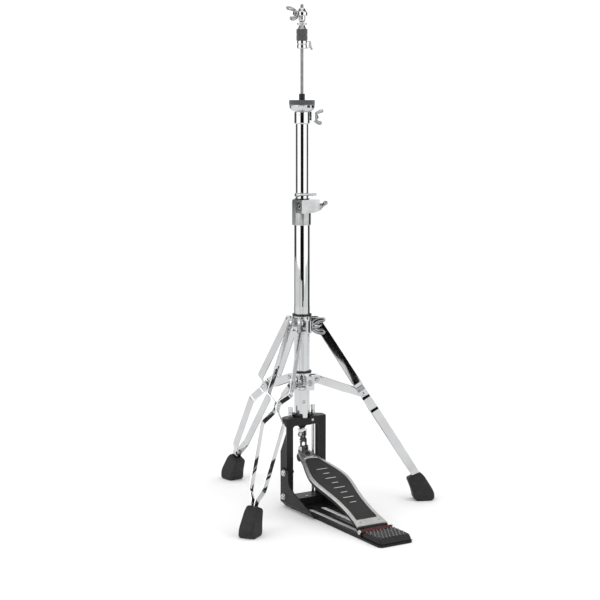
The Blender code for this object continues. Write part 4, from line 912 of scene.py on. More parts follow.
# ------------------------------------------------------------------ tubes and rod
def tubes():
    ob = tube("bt", TUBE_R - TUBE_WALL, TUBE_R, TUBE_Z0, TUBE_Z1, 128, e=0.0003)
    hole = rod("h", 0.0034, -0.03, 0.0, 32, (0, 0, 0.2172), "Y")
    move(hole, Matrix.Rotation(RAD(-16), 4, "Z"))
    slot = box("s", -0.0007, 0.0007, -0.0300, -0.0050, 0.17, 0.2065)
    move(slot, Matrix.Rotation(RAD(-76), 4, "Z"))
    cut(ob, hole, slot)
    finish(ob, "base_tube_chrome", "base", "chrome", ["base_tube"], weighted=False)
    s = lathe("s", [(0, -0.0166), (0.0028, -0.0166), (0.0031, -0.0160), (0.0031, -0.0130), (0, -0.0130)], 32, (0, 0, 0.2172), "Y", r=0.0002)
    hx = lathe("h", [(0, -0.02), (0.0015, -0.02), (0.0015, -0.0152), (0, -0.0152)], 6, (0, 0, 0.2172), "Y")
    cut(s, hx)
    move(s, Matrix.Rotation(RAD(-16), 4, "Z"))
    finish(s, "base_tube_set_screw", "base", "steel", ["base_tube_screw"])
    finish(tube("ut", UPPER_R - UPPER_WALL, UPPER_R, UPPER_Z0, UPPER_Z1, 128, e=0.0003), "upper_tube_chrome", "upper", "chrome", ["upper_tube"], weighted=False)
    finish(tube("cb", UPPER_R + GAP, 0.0149, 0.5860, 0.6336, 96, e=0.0003), "clamp_bushing_sleeve", "base", "nylon", ["clamp_bushing"])
    c = lathe("tc", [(UPPER_R + GAP, 0.7845), (0.0140, 0.7830), (0.0150, 0.7836), (0.0156, 0.7850), (0.0156, 0.8062), (0.0150, 0.8074), (0.0070, 0.8074), (0.0070, 0.8044), (UPPER_R + GAP, 0.8044)], 96, r=0.0004)
    grooves = [lathe("g", [(0.01535, z), (0.0162, z - 0.0004), (0.0162, z + 0.0004)], 96) for z in (0.8016,)]
    cut(c, *grooves)
    finish(c, "tube_top_cap", "upper", "chrome", ["tube_top_collar"])
    # shallow ball-stake marks round the cap, drawn as flush dark discs in the groove: painted shade in the dimples
    marks = [lathe("m", [(0, -0.0157), (0.0007, -0.0157), (0.0011, -0.0150), (0, -0.0150)], 12, (0, 0, 0.8016), "Y") for _ in range(3)]
    for a, mk in zip((-52, -38, 70), marks):
        move(mk, Matrix.Rotation(RAD(a), 4, "Z"))
    finish(join(*marks), "tube_top_stakes_painted_shade", "upper", "chain", (), weighted=False)
    # the pull rod: a plain shaft with a chamfered top
    prof = [(0, 0.1545), (ROD_R, 0.1545), (ROD_R, 1.0178), (0.0022, ROD_TOP), (0, ROD_TOP)]
    finish(lathe("pr", prof, 48, r=0.0003), "pull_rod_shaft", "pull_rod", "rod", ["pull_rod"])
    washer = lathe("sw", [(ROD_R + GAP, 0.4460), (0.0120, 0.4460), (0.0120, 0.4490), (ROD_R + GAP, 0.4490)], 48, r=0.0005)
    finish(washer, "spring_seat_washer", "pull_rod", "steel", ["spring_seat"])
    turns, per, sect, coil_r, wire_r = 20, 28, 10, 0.0092, 0.0011
    z0, z1 = TUBE_Z0 + 0.0012 + wire_r, 0.4455 - wire_r
    path = []
    total = turns * per
    for k in range(total + 1):
        a = 2 * math.pi * k / per
        f = k / total
        g = f if 0.06 < f < 0.94 else f
        path.append((coil_r * math.cos(a), coil_r * math.sin(a), z0 + (z1 - z0) * g))
    finish(sweep("rs", path, ellipse(wire_r, wire_r, sect)), "return_spring_coil", "base", "spring", ["return_spring"], weighted=False, sharp=80)


def clamp():
    body = lathe("tcl", [(0.0161, 0.5800), (0.0176, 0.5800), (0.0182, 0.5812), (0.0182, 0.6060), (0.0186, 0.6070), (0.0186, 0.6322), (0.0161, 0.6322)], 96)
    ear = prism("ear", [(-0.0184, 0.6052), (-0.0040, 0.6052), (0.0120, 0.6062), (0.0190, 0.6078), (0.0234, 0.6092), (0.0234, 0.6322), (-0.0184, 0.6322)], "Y", -0.0300, 0.0060)
    spine = box("spine", -0.0196, -0.0168, -0.0080, 0.0060, 0.5803, 0.6300)
    unite(body, ear, spine)
    bore = rod("bore", 0.0161, 0.55, 0.5854, 72)
    seat = rod("seat", 0.0152, 0.55, 0.70, 72)
    recess = prism("rec", rounded(-0.0286, -0.0120, 0.6105, 0.6275, 0.0015, 4), "X", -0.03, -0.0150)
    bolt = rod("bh", 0.0033, -0.05, 0.05, 32, (0, -0.0215, 0.6190), "X")
    split = box("split", 0.0080, 0.0098, -0.0400, -0.0306 + 0.0008, 0.59, 0.65)
    cut(body, bore, seat, recess, bolt, split)
    # turned rings on the front face
    cuts = []
    for rr in (0.0028, 0.0056, 0.0084, 0.0112):
        cuts.append(lathe("g", [(rr - 0.00035, -0.0303), (rr + 0.00035, -0.0303), (rr, -0.02982)], 72, (0.0015, 0, 0.6195), "Y"))
    cut(body, *cuts)
    finish(body, "tube_clamp_casting", "base", "castchrome", ["tube_clamp"], 0.0008, 3)
    nut = lathe("nut", [(0.0033, 0.0), (0.0060, 0.0), (0.0060, 0.0036), (0.0051, 0.0045), (0.0033, 0.0045)], 6, axis="X")
    move(nut, Matrix.Translation((-0.0197, -0.0215, 0.6190)))
    finish(nut, "clamp_bolt_nut", "base", "chrome", ["clamp_nut"], 0.0003)
    hub = lathe("hd", [(0, -0.0375), (0.0030, -0.0375), (0.0030, 0.0003), (0.0052, 0.0003), (0.0052, 0.0110), (0.0040, 0.0125), (0, 0.0125)], 40, axis="X", r=0.0005)
    bar = lathe("bar", [(0, -0.0165), (0.0030, -0.0162), (0.0046, -0.0140), (0.0044, -0.0110), (0.0036, -0.0040), (0.0036, 0.0040), (0.0044, 0.0110), (0.0046, 0.0140), (0.0030, 0.0162), (0, 0.0165)], 32, (0.0118, 0, 0), "Z", r=0.001)
    move(bar, Matrix.Rotation(RAD(62), 4, "X"))
    unite(hub, bar)
    move(hub, Matrix.Translation((0.0236, -0.0215, 0.6190)))
    finish(hub, "clamp_t_handle", "clamp_handle", "chrome_with_painted_shade", ["clamp_handle"])
    # memory lock
    body = tube("ml", UPPER_R + GAP, 0.0200, 0.6340, 0.6505, 96)
    e = prism("e", rounded(-0.0172, 0.0236, -0.0310, 0.0100, 0.0020, 5), "Z", 0.6340, 0.6505)
    back = prism("k", [(-0.0172, 0.0), (0.0150, 0.0), (0.0150, 0.0120), (0.0080, 0.0165), (-0.0150, 0.0165), (-0.0172, 0.0140)], "Z", 0.6340, 0.6505, 0.002)
    unite(body, e, back)
    bore = rod("b", UPPER_R + GAP, 0.60, 0.70, 72)
    split = box("sp", 0.0075, 0.0090, -0.0400, -0.0300, 0.62, 0.67)
    hole = rod("bh", 0.0028, -0.05, 0.05, 28, (0, -0.0178, 0.6422), "X")
    cuts = []
    for rr in (0.0042, 0.0070, 0.0098):
        cuts.append(lathe("g", [(rr - 0.00035, -0.0313), (rr + 0.00035, -0.0313), (rr, -0.03082)], 72, (-0.0010, 0, 0.6340), "Y"))
    cut(body, bore, split, hole, *cuts)
    finish(body, "memory_lock_casting", "upper", "castchrome", ["memory_lock"], 0.0008, 3)
    s = lathe("mls", [(0, -0.0262), (0.0036, -0.0262), (0.0041, -0.0254), (0.0041, -0.0176), (0.0024, -0.0176), (0.0024, 0.0225), (0, 0.0225)], 40, (0, -0.0178, 0.6422), "X", r=0.0003)
    hx = lathe("h", [(0, -0.03), (0.0018, -0.03), (0.0018, -0.0236), (0, -0.0236)], 6, (0, -0.0178, 0.6422), "X")
    finish(cut(s, hx), "memory_lock_key_screw", "upper", "steel", ["memory_lock_screw"])


# ------------------------------------------------------------------ seat
def fuzz(ob, amp, scale, seed=0.0):
    bm = bmesh.new()
    bm.from_mesh(ob.data)
    bm.normal_update()
    for v in bm.verts:
        k = noise.fractal(v.co * scale + Vector((seed, seed, seed)), 0.7, 2.0, 4)
        v.co = v.co + v.normal * (amp * k)
    bm.to_mesh(ob.data)
    bm.free()


def felt_disc(name, r0, r1, z0, z1, e, seg, rows, amp):
    prof = [(r0, z0)]
    m = 7
    for i in range(m + 1):
        a = RAD(-90 + 90.0 * i / m)
        prof.append((r1 - e + e * math.cos(a), z0 + e + e * math.sin(a)))
    for i in range(1, rows):
        prof.append((r1, z0 + e + (z1 - z0 - 2 * e) * i / rows))
    for i in range(m + 1):
        a = RAD(90.0 * i / m)
        prof.append((r1 - e + e * math.cos(a), z1 - e + e * math.sin(a)))
    for i in range(1, 8):
        prof.append((r1 - e - (r1 - e - r0) * i / 8.0, z1))
    prof.append((r0, z1))
    ob = lathe(name, prof, seg)
    fuzz(ob, amp, 700.0, z0 * 10)
    return ob


def seat():
    prof = [(0.0110, 0.8079), (0.0150, 0.8079), (0.0178, 0.8084), (0.0205, 0.8096), (0.0228, 0.8114), (0.0244, 0.8138), (0.0254, 0.8168), (0.0259, 0.8200), (0.0256, 0.8206), (0.0110, 0.8206)]
    ob = lathe("cup", prof, 128, r=0.0003)
    lug = prism("lug", fillet([(0.0150, 0.8082), (0.0180, 0.8000), (0.0200, 0.7895), (0.0270, 0.7895), (0.0285, 0.7910), (0.0285, 0.8105), (0.0262, 0.8160), (0.0235, 0.8180), (0.0150, 0.8180)], 0.0016, 4), "Y", -0.0045, 0.0045)
    unite(ob, lug)
    inner = box("c", 0.0100, 0.0200, -0.006, 0.006, 0.77, 0.8078)
    screw = rod("s", 0.0026, 0.0150, 0.0400, 32, (0, 0, 0.7965), "X")
    notch = box("n", -0.0030, 0.0030, -0.0300, -0.0236, 0.8150, 0.83)
    cut(ob, inner, screw, notch)
    finish(ob, "seat_cup_bowl", "seat", "chrome", ["seat_cup"], 0.0003)
    f = felt_disc("f", 0.0062, 0.0259, 0.8209, SEAT_Z - 0.00006, 0.0008, 180, 10, 0.00009)
    finish(f, "seat_felt_disc", "seat", "felt", ["seat_felt"], 0, weighted=False)
    finish(lathe("ss", [(0.0048, 0.8120), (0.0059, 0.8120), (0.0059, 0.8425), (0.0056, 0.8433), (0.0048, 0.8433)], 56, r=0.0002), "seat_sleeve_tube", "seat", "nylon", ["seat_sleeve"])
    finish(prism("clip", rounded(-0.0027, 0.0027, 0.8153, 0.8205, 0.0008, 4), "Y", -0.0268, -0.0243), "tilt_spring_clip", "seat", "nylon", ["tilt_clip"], 0.0003)
    ws = wing_screw(0.0023, 0.0128, 0.0062, 0.0085, 0.0325, 0.0195, 0.0040, 0.0040)
    move(ws, Matrix.Translation((0.0290, 0, 0.7965)) @ Matrix.Rotation(RAD(14), 4, "X"))
    finish(ws, "tilt_screw_wings", "tilt_screw", "chrome_with_painted_shade", ["tilt_wing_screw"])


# ------------------------------------------------------------------ clutch
def clutch():
    ob = lathe("cl", [(ROD_R + GAP, 0.9325), (0.0046, 0.9325), (0.0046, 0.9845), (0.0060, 0.9868), (0.0067, 0.9890), (0.0067, 0.9962), (0.0104, 0.9968), (0.0108, 0.9975), (0.0108, 1.0038),
                      (0.0100, 1.0046), (0.0088, 1.0048), (0.0084, 1.0060), (0.0068, 1.0096), (0.0050, 1.0121), (ROD_R + GAP, 1.0121)], 96, r=0.0003)
    cut(ob, rod("s", 0.0027, -0.02, -0.0030, 28, (0, 0, 1.0010), "X"))
    finish(ob, "clutch_barrel", "clutch", "chrome", ["clutch_body"])
    ws = wing_screw(0.0024, 0.0076, 0.0060, 0.0085, 0.0345, 0.0208, 0.0058, 0.0050)
    move(ws, Matrix.Translation((-0.0112, 0, 1.0010)) @ Matrix.Rotation(math.pi, 4, "Z") @ Matrix.Rotation(RAD(33), 4, "X"))
    finish(ws, "clutch_screw_wings", "clutch_screw", "chrome_with_painted_shade", ["clutch_wing_screw"])
    ln = lathe("ln", [(0.0049, 0.9712), (0.0088, 0.9712), (0.0084, 0.9722), (0.0064, 0.9762), (0.0058, 0.9782), (0.0058, 0.9788), (0.0095, 0.9790), (0.0095, 0.9822), (0.0090, 0.9828), (0.0049, 0.9828)], 96, r=0.0003)
    bm = bmesh.new()
    bm.from_mesh(ln.data)
    for v in bm.verts:
        rr = math.hypot(v.co.x, v.co.y)
        if rr > 0.0092:
            a = math.atan2(v.co.y, v.co.x)
            k = 1 - 0.035 * (0.5 + 0.5 * math.cos(a * 24))
            v.co.x *= k
            v.co.y *= k
    bm.to_mesh(ln.data)
    bm.free()
    finish(ln, "clutch_top_nut", "clutch", "chrome", ["clutch_lock_nut"])
    for tag, za, zb in (("lower", 0.9484, 0.9593), ("upper", 0.9599, 0.9709)):
        f = felt_disc("f", 0.0049, 0.0111, za + 0.00005, zb - 0.00005, 0.0006, 110, 12, 0.00008)
        finish(f, "clutch_felt_%s_disc" % tag, "clutch", "felt", ["clutch_felt_" + tag], 0, weighted=False)
    nut = lathe("bn", [(0.0049, 0.9320), (0.0088, 0.9320), (0.0100, 0.9335), (0.0100, 0.9395), (0.0092, 0.9402), (0.0092, 0.9412), (0.0100, 0.9420), (0.0100, 0.9474), (0.0094, 0.9481), (0.0049, 0.9481)], 96, r=0.0003)
    lug = prism("l", rounded(-0.0030, 0.0030, 0.9325, 0.9475, 0.0026, 8), "X", 0.0080, 0.0146)
    unite(nut, lug)
    finish(nut, "clutch_lower_nut", "clutch", "chrome", ["clutch_bottom_nut"], 0.0004)
    lever = prism("lv", fillet([(0.0150, 0.9360), (0.0200, 0.9338), (0.0218, 0.9318), (0.0228, 0.9300), (0.0240, 0.9305), (0.0235, 0.9330), (0.0222, 0.9362), (0.0205, 0.9385), (0.0205, 0.9460), (0.0190, 0.9475), (0.0150, 0.9475)], 0.0010, 4), "Y", -0.0028, 0.0028)
    finish(lever, "clutch_drop_lever", "clutch_lever", "chrome_with_painted_shade", ["clutch_release_lever"], 0.0006, 3)


# ------------------------------------------------------------------ tripod
def leg_place(ob, deg, r, z):
    return move(ob, Matrix.Translation((r * math.cos(RAD(deg)), r * math.sin(RAD(deg)), z)) @ Matrix.Rotation(RAD(deg), 4, "Z"))


def round_path(pts, c, n=7):
    out = [Vector(pts[0])]
    for i in range(1, len(pts) - 1):
        a, b, d = Vector(pts[i - 1]), Vector(pts[i]), Vector(pts[i + 1])
        la, lb = (a - b).length, (d - b).length
        k = min(c, la * 0.45, lb * 0.45)
        p0, p2 = b + (a - b) / la * k, b + (d - b) / lb * k
        for j in range(n + 1):
            t = j / n
            out.append(p0 * (1 - t) ** 2 + b * 2 * t * (1 - t) + p2 * t * t)
    out.append(Vector(pts[-1]))
    return out


def leg_strip(side):
    # merge the short facets at each bend into one corner, then round it with the bend radius
    pts = [(0.0, 0.0130), (0.0100, 0.0130), (0.1567, 0.0242), (0.1745, 0.0030), (0.1925, 0.0030), (0.2186, 0.0227), (0.3565, 0.0139), (0.3785, 0.0041), (0.3905, 0.0040)]
    path = round_path(pts, 0.0050)
    head = []
    R = STRIP_W / 2
    for i in range(1, 9):
        a = RAD(90.0 * i / 9)
        head.append((-R * math.cos(a), R * math.sin(a)))
    hw = R
    th = STRIP_T / 2
    e = 0.0006
    sec = []
    rings = []
    samples = [(Vector((t, 0.0130)), half) for t, half in [(-R * 0.999, R * 0.05)] + head] + [(p, hw * (0.86 if p.x > 0.386 else 1.0)) for p in path]
    n = len(samples)
    for i, (p, half) in enumerate(samples):
        a, b = samples[max(i - 1, 0)][0], samples[min(i + 1, n - 1)][0]
        t = (b - a).normalized() if (b - a).length > 1e-9 else Vector((1, 0))
        nx, ny = -t.y, t.x
        sec = [(half - e, th), (half - e * 0.3, th - e * 0.3), (half, th - e), (half, -th + e), (half - e * 0.3, -th + e * 0.3), (half - e, -th),
               (-half + e, -th), (-half + e * 0.3, -th + e * 0.3), (-half, -th + e), (-half, th - e), (-half + e * 0.3, th - e * 0.3), (-half + e, th)]
        if half < 2 * e:
            sec = [(x * 0.2, z) for x, z in sec]
        ring = []
        for w, q in sec:
            tt, oo = p.x + nx * q, p.y + ny * q
            ring.append((LEG_D[0] * tt + LEG_N[0] * w, side * oo, LEG_D[1] * tt + LEG_N[1] * w))
        rings.append(ring)
    ob = loft("ls", rings)
    heads = []
    for t, o, r, h in ((0.0, 0.0130, 0.0050, 0.0021), (BRACE_T, 0.0030, 0.0042, 0.0018)):
        base = STRIP_T / 2 + o
        prof = [(0, base - 0.0008), (r, base - 0.0008), (r, base + 0.0005), (r * 0.92, base + h * 0.55), (r * 0.66, base + h * 0.86), (r * 0.3, base + h), (0, base + h)]
        if side < 0:
            prof = [(a, -b) for a, b in prof]
        heads.append(lathe("rh", prof, 32, (LEG_D[0] * t, 0, LEG_D[1] * t), "Y", r=0.0002))
    unite(ob, *heads)
    return ob


def foot():
    """Moulded rubber foot with soft edges, crowned sides and a socket round the strip ends."""
    prof = [(0.2400, 0.0), (0.2735, 0.0), (0.2785, 0.0040), (0.2785, 0.0150), (0.2740, 0.0245), (0.2575, 0.0510), (0.2475, 0.0590), (0.2225, 0.0475), (0.2215, 0.0440), (0.2310, 0.0200), (0.2345, 0.0045)]
    prof = fillet(prof, 0.0045, 4)
    prof = [(x, max(0.0, z)) for x, z in prof]
    rings = []
    cx, cz = 0.2500, 0.028
    for y, k in ((-1.0, 0.30), (-0.97, 0.17), (-0.90, 0.08), (-0.78, 0.025), (-0.5, 0.0), (0.0, -0.004), (0.5, 0.0), (0.78, 0.025), (0.90, 0.08), (0.97, 0.17), (1.0, 0.30)):
        ring = []
        for x, z in prof:
            hw = 0.0122 + 0.0053 * (1 - z / 0.059)
            zz = z + (cz - z) * k * (0.8 if z > 0.012 else 0.10)
            ring.append((x + (cx - x) * k * 0.8 - LEG_PIVOT_R, y * hw, zz - LEG_PIVOT_Z))
        rings.append(ring)
    ob = loft("ft", rings)
    t0, t1 = 0.3700, 0.3930
    hw, hy = STRIP_W / 2 + 0.0006, 0.0042 + STRIP_T / 2 + 0.0018
    pocket = loft("p", [[(LEG_D[0] * t + LEG_N[0] * hw * s, hy * q, LEG_D[1] * t + LEG_N[1] * hw * s) for s, q in ((-1, -1), (1, -1), (1, 1), (-1, 1))] for t in (t0, t1)])
    cut(ob, pocket)
    return ob


PHI = math.acos(BRACE_T * math.sin(LEG_ANGLE) / math.hypot(BRACE_T * math.sin(LEG_ANGLE), LEG_PIVOT_Z - BRACE_T * math.cos(LEG_ANGLE) - BRACE_PIVOT_Z))
BRACE_LEN = math.hypot(BRACE_T * math.sin(LEG_ANGLE), LEG_PIVOT_Z - BRACE_T * math.cos(LEG_ANGLE) - BRACE_PIVOT_Z)


def brace():
    """Channel pressed from sheet: open below, pinched flat at its outer end."""
    d, n = (math.cos(PHI), -math.sin(PHI)), (math.sin(PHI), math.cos(PHI))
    rings = []
    st = [(-0.0065, 0.0062, 0.0040), (-0.0055, 0.0062, 0.0062), (-0.0030, 0.0062, 0.0080), (0.0020, 0.0062, 0.0084), (0.0600, 0.0062, 0.0084), (0.0660, 0.0058, 0.0084), (0.0760, 0.0026, 0.0081), (0.0830, 0.0014, 0.0080),
          (BRACE_LEN, 0.0014, 0.0078), (BRACE_LEN + 0.0040, 0.0014, 0.0066), (BRACE_LEN + 0.0062, 0.0014, 0.0040)]
    for x, hy, hz in st:
        e = min(0.0009, hy * 0.5)
        sec = [(hz, hy - e), (hz - e * 0.3, hy - e * 0.3), (hz - e, hy), (-hz + e, hy), (-hz + e * 0.3, hy - e * 0.3), (-hz, hy - e),
               (-hz, -hy + e), (-hz + e * 0.3, -hy + e * 0.3), (-hz + e, -hy), (hz - e, -hy), (hz - e * 0.3, -hy + e * 0.3), (hz, -hy + e)]
        rings.append([(d[0] * x + n[0] * s, q, d[1] * x + n[1] * s) for s, q in sec])
    ob = loft("br", rings, tri=True)
    inner = []
    for x, hy in ((0.0080, 0.0046), (0.0600, 0.0046), (0.0690, 0.0022)):
        inner.append([(d[0] * x + n[0] * s, hy * q, d[1] * x + n[1] * s) for s, q in ((-0.02, -1), (0.0062, -1), (0.0062, 1), (-0.02, 1))])
    cut(ob, loft("in", inner))
    return ob


def collar(z_top, z_bot, z_mid0, z_mid1, ears, ear_z, ear_half, extra=()):
    prof = [(TUBE_R + GAP, z_bot), (0.0196, z_bot), (0.0205, z_bot + 0.0012), (0.0205, z_mid0), (0.0186, z_mid0 + 0.0010), (0.0183, z_mid0 + 0.0030), (0.0183, z_mid1 - 0.0030),
            (0.0186, z_mid1 - 0.0010), (0.0205, z_mid1), (0.0205, z_top - 0.0075), (0.0194, z_top - 0.0068), (0.0194, z_top), (TUBE_R + GAP, z_top)]
    ob = lathe("co", prof, 96, r=0.0005)
    parts = []
    for deg in (-24.0, 96.0, 216.0):
        for s in (-1, 1):
            y0, y1 = sorted((s * ears[0], s * ears[1]))
            xc = LEG_PIVOT_R
            pts = [(0.0060, ear_z - ear_half - 0.0030)] + [(xc + ear_half * math.cos(RAD(a)), ear_z + ear_half * math.sin(RAD(a))) for a in range(-80, 81, 10)] + [(0.0060, ear_z + ear_half + 0.0005)]
            e = prism("ear", pts, "Y", y0, y1)
            move(e, Matrix.Rotation(RAD(deg), 4, "Z"))
            parts.append(e)
    unite(ob, *parts)
    for e in extra:
        unite(ob, e)
    cut(ob, rod("b", TUBE_R + GAP, z_bot - 0.02, z_top + 0.02, 96))
    return ob


def tripod():
    R24 = Matrix.Rotation(A24, 4, "Z")
    boss = move(prism("boss", rounded(0.0030, 0.0150, -0.0350, -0.0150, 0.003, 6), "Z", 0.3640, 0.3880), R24)
    lc = collar(0.3942, 0.3580, 0.3640, 0.3830, (0.0075, 0.0114), 0.3830, 0.0085, (boss,))
    scr = move(rod("s", 0.0031, -0.01, 0.06, 32, (0, -0.0280, 0.3760), "X"), R24)
    vert = move(box("v", -0.0022, 0.0022, -0.0300, -0.0100, 0.3882, 0.40), Matrix.Rotation(RAD(-31), 4, "Z"))
    cut(lc, scr, vert)
    finish(lc, "leg_collar_casting", "tripod", "chrome", ["leg_collar"], 0.0006, 3)
    finish(tube("g", TUBE_R + GAP, 0.0198, 0.3945, 0.3985, 96, e=0.0006), "leg_collar_bush", "tripod_ring", "nylon", ["leg_collar_gasket"])
    lw = wing_screw(0.0028, 0.0118, 0.0074, 0.0150, 0.0350, 0.0290, 0.0056, 0.0050)
    move(lw, Matrix.Translation((0.0154 * math.cos(A24) + 0.0280 * math.sin(A24), 0.0154 * math.sin(A24) - 0.0280 * math.cos(A24), 0.3760)) @ Matrix.Rotation(A24, 4, "Z"))
    finish(lw, "leg_collar_screw_wings", "leg_screw", "chrome_with_painted_shade", ["leg_collar_wing_screw"])
    bl = move(prism("bl", rounded(0.0040, 0.0220, -0.0300, -0.0140, 0.003, 6), "Z", 0.2440, 0.2730), R24)
    bc = collar(0.2768, 0.2423, 0.2480, 0.2660, (0.0066, 0.0100), BRACE_PIVOT_Z, 0.0085, (bl,))
    bb = move(rod("s", 0.0031, -0.0318, -0.0180, 32, (0.0135, 0, 0.2590), "Y"), R24)
    vert = move(box("v", -0.0022, 0.0022, -0.0300, -0.0100, 0.2712, 0.28), Matrix.Rotation(RAD(-31), 4, "Z"))
    cut(bc, bb, vert)
    finish(bc, "brace_collar_casting", "brace_ring", "chrome", ["brace_collar"], 0.0006, 3)
    finish(tube("g", TUBE_R + GAP, 0.0198, 0.2771, 0.2808, 96, e=0.0006), "brace_collar_bush", "brace_ring", "nylon", ["brace_collar_gasket"])
    bolt = lathe("bo", [(0, -0.0112), (0.0027, -0.0112), (0.0027, 0.0003), (0.0058, 0.0003), (0.0058, 0.0026), (0.0042, 0.0042), (0, 0.0046)], 40, axis="X", r=0.0004)
    hx = lathe("hx", [(0, 0.0022), (0.0021, 0.0022), (0.0021, 0.008), (0, 0.008)], 6, axis="X")
    cut(bolt, hx)
    move(bolt, Matrix.Translation((0.0135 * math.cos(A24) + 0.0300 * math.sin(A24), 0.0135 * math.sin(A24) - 0.0300 * math.cos(A24), 0.2590)) @ Matrix.Rotation(A24 - math.pi / 2, 4, "Z"))
    finish(bolt, "brace_collar_cap_bolt", "brace_ring", "steel", ["brace_collar_bolt"])
    # pivot rivets through the ears of each brace; the leg ears get no pin
    for tag, deg in LEG_DIRECTIONS:
        for body, z, nm in (("tripod", LEG_PIVOT_Z, "leg"), ("brace_ring", BRACE_PIVOT_Z, "brace")):
            h = 0.0121 if nm == "leg" else 0.0123
            lo = 0.0070 if nm == "leg" else 0.0064
            pin = lathe("pp", [(0, -lo), (0.0026, -lo), (0.0026, lo), (0, lo)], 24, axis="Y")
            if nm == "brace":
                heads = []
                for s in (-1, 1):
                    pr = [(0, 0.0096), (0.0046, 0.0096), (0.0046, 0.0108), (0.0036, 0.0120), (0.0014, 0.0124), (0, 0.0124)]
                    heads.append(lathe("hd", [(a, s * b) for a, b in pr], 32, axis="Y", r=0.0003))
                join(pin, *heads)
                leg_place(pin, deg, BRACE_PIVOT_R, z)
                finish(pin, "brace_pivot_rivet_" + tag, body, "steel", ())
            else:
                bpy.data.objects.remove(pin, do_unlink=True)
        for sname, s in (("a", 1), ("b", -1)):
            finish(leg_place(leg_strip(s), deg, LEG_PIVOT_R, LEG_PIVOT_Z), "leg_%s_bar_%s" % (tag, sname), "leg_" + tag, "chrome", ["leg_%s_strip_%s" % (tag, sname)], sharp=30)
        finish(leg_place(foot(), deg, LEG_PIVOT_R, LEG_PIVOT_Z), "foot_%s_rubber" % tag, "leg_" + tag, "rubber", ["foot_" + tag], 0, sharp=50)
        finish(leg_place(brace(), deg, BRACE_PIVOT_R, BRACE_PIVOT_Z), "brace_%s_channel" % tag, "brace_" + tag, "chrome", ["brace_" + tag])


def hinge():
    pin = lathe("hp", [(0, -0.0392), (0.0040, -0.0392), (0.0046, -0.0384), (0.0046, -0.0360), (0.0020, -0.0360), (0.0020, 0.0360), (0.0046, 0.0360), (0.0046, 0.0384), (0.0040, 0.0392), (0, 0.0392)], 36, (0, HINGE_Y, HINGE_Z), "X", r=0.0003)
    finish(pin, "heel_hinge_rod", "base", "chrome", ["heel_hinge_pin"])
    parts = []
    for sx in (-1, 1):
        x0, x1 = sorted((sx * 0.0234, sx * 0.0340))
        parts.append(lathe("k", [(0.0024, x0), (0.0048, x0), (0.0048, x1), (0.0024, x1)], 40, (0, HINGE_Y, HINGE_Z), "X", r=0.0004))
    leaf = prism("lf", [(-0.2862, PLATE_T + GAP), (-0.2668, PLATE_T + GAP), (-0.2668, 0.0066), (-0.2760, 0.0070), (-0.2862, 0.0150), (-0.2866 + 0.0004, 0.0150)], "X", -0.0340, 0.0340)
    join(leaf, *parts)
    finish(leaf, "heel_hinge_leaf", "base", "hinge", ["heel_hinge_strip"], 0.0003)


base_plate()
heel()
pedal_frame()
spurs()
hex_bolts()
hinge()
footboard()
toe()
insert()
chain()
connector()
tubes()
clamp()
seat()
clutch()
tripod()

for _o in list(bpy.data.objects):
    if _o.type == "MESH" and _o.parent is None:
        bpy.data.objects.remove(_o, do_unlink=True)


# ------------------------------------------------------------------ stage, lights, camera
def stage_mat(name, colour, rough=0.9):
    m, nt, p, tc = nodes_of(name)
    n1 = noise_node(nt, tc, 6.0, 3.0)
    nt.links.new(mix_col(nt, n1.outputs["Fac"], tuple(c * 0.985 for c in colour), colour), p.inputs["Base Color"])
    p.inputs["Roughness"].default_value = rough
    p.inputs["Specular IOR Level"].default_value = 0.1
    return m


def card(name, pts, mat, visible=False):
    ob = obj_from(name, pts, [[0, 1, 2, 3]])
    ob.data.materials.append(mat)
    ob.visible_camera = visible
    ob.visible_shadow = False
    return ob


FLOOR = stage_mat("floor_white", (0.93, 0.93, 0.93))
floor = obj_from("floor", [(-60, -60, -0.0002), (60, -60, -0.0002), (60, 60, -0.0002), (-60, 60, -0.0002)], [[0, 1, 2, 3]])
floor.data.materials.append(FLOOR)

CAM_A, CAM_D, CAM_H, CAM_P = RAD(-31.2), 2.992, 0.8307, RAD(7.70)
cam_pos = Vector((math.sin(CAM_A) * CAM_D, -math.cos(CAM_A) * CAM_D, CAM_H))
cam_dir = Vector((-math.sin(CAM_A), math.cos(CAM_A), 0))     # into the picture
cam_right = Vector((math.cos(CAM_A), math.sin(CAM_A), 0))
data = bpy.data.cameras.new("camera")
data.sensor_width = 36.0
data.lens = 1478.8 / 600.0 * 36.0
data.shift_x = -0.00325
cam = bpy.data.objects.new("camera", data)
bpy.context.scene.collection.objects.link(cam)
cam.location = cam_pos
cam.rotation_euler = (math.pi / 2 - CAM_P, 0, CAM_A)
bpy.context.scene.camera = cam


def glow(name, colour, strength):
    """Even surface light for the studio cards that only reflections see."""
    m = bpy.data.materials.new(name)
    m.use_nodes = True
    nt = m.node_tree
    nt.nodes.remove(nt.nodes["Principled BSDF"])
    e = nt.nodes.new("ShaderNodeEmission")
    e.inputs["Color"].default_value = (*colour, 1)
    e.inputs["Strength"].default_value = strength
    nt.links.new(e.outputs["Emission"], nt.nodes["Material Output"].inputs["Surface"])
    return m


BLACK = glow("card_black", (1, 1, 1), 0.008)
GREY = glow("card_grey", (1, 1, 1), 0.16)
SOFT = glow("card_soft", (1, 1, 1), 1.75)
DARK = glow("card_dark", (1, 1, 1), 0.05)


def around(az, dist, z):
    """Point at azimuth az degrees from the camera's side; positive is to the camera's right."""
    v = -cam_dir * math.cos(RAD(az)) + cam_right * math.sin(RAD(az))
    return Vector((v.x * dist, v.y * dist, z))


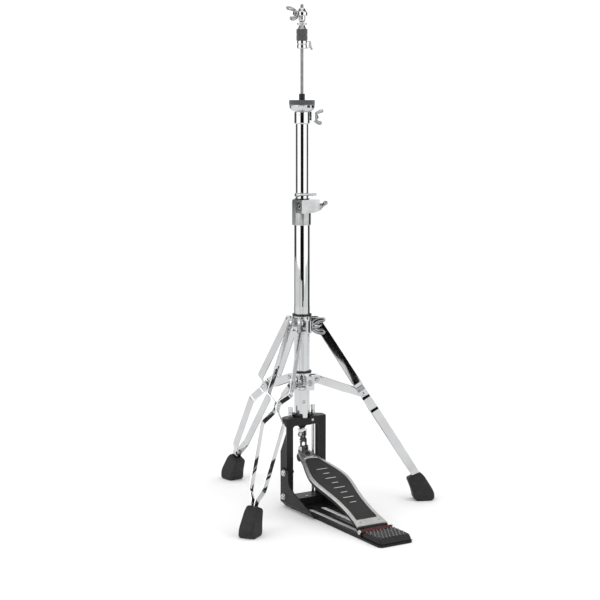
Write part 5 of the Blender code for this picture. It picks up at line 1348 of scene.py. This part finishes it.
def flag(name, a0, a1, dist, z0, z1, mat):
    ob = card(name, [around(a0, dist, z0), around(a1, dist, z0), around(a1, dist, z1), around(a0, dist, z1)], mat)
    ob.visible_diffuse = False
    return ob


flag("flag_front", -22, 27, 3.9, 0.33, 2.9, BLACK)
flag("flag_low", 3, 20, 4.6, 0.06, 0.5, BLACK)
flag("flag_line_left", -30.5, -27.5, 1.5, 0.0, 0.44, BLACK)
flag("flag_line_right", 14.5, 17.0, 1.5, 0.0, 0.42, BLACK)
flag("flag_top", -60, 60, 3.0, 3.3, 4.2, DARK)
flag("soft_left", -84, -26, 3.4, 0.45, 2.6, SOFT)
flag("soft_right", 32, 92, 3.4, 0.45, 2.6, SOFT)
flag("side_right", 100, 132, 2.3, 0.0, 1.15, BLACK)
flag("side_right_high", 94, 132, 2.3, 1.15, 2.6, DARK)
flag("side_left", -118, -92, 2.7, 0.42, 2.6, DARK)
flag("side_left_back", -150, -118, 2.7, 0.0, 2.4, GREY)
flag("back_right", 134, 164, 2.7, 0.0, 2.4, GREY)
flag("high_left", -140, -62, 3.6, 2.7, 4.2, GREY)
flag("high_right", 62, 150, 3.6, 2.7, 4.2, GREY)

world = bpy.data.worlds.new("studio")
bpy.context.scene.world = world
world.use_nodes = True
bg = world.node_tree.nodes["Background"]
bg.inputs["Color"].default_value = (1.0, 1.0, 1.0, 1)
bg.inputs["Strength"].default_value = 1.09


def area(name, loc, target, size, power, size_y=None):
    l = bpy.data.lights.new(name, "AREA")
    l.shape = "RECTANGLE"
    l.size = size
    l.size_y = size_y or size
    l.energy = power
    o = bpy.data.objects.new(name, l)
    bpy.context.scene.collection.objects.link(o)
    o.location = loc
    d = Vector(target) - Vector(loc)
    o.rotation_euler = d.to_track_quat("-Z", "Y").to_euler()
    return o


area("key", around(-55, 2.6, 2.1), (0, 0, 0.2), 1.4, 9, 1.4)
area("fill", around(60, 2.8, 1.9), (0, 0, 0.2), 1.2, 5, 1.4)
area("top", (0.2, -0.2, 3.0), (0, 0, 0), 2.0, 5)

bpy.context.scene.view_settings.view_transform = "Standard"
bpy.context.view_layer.update()
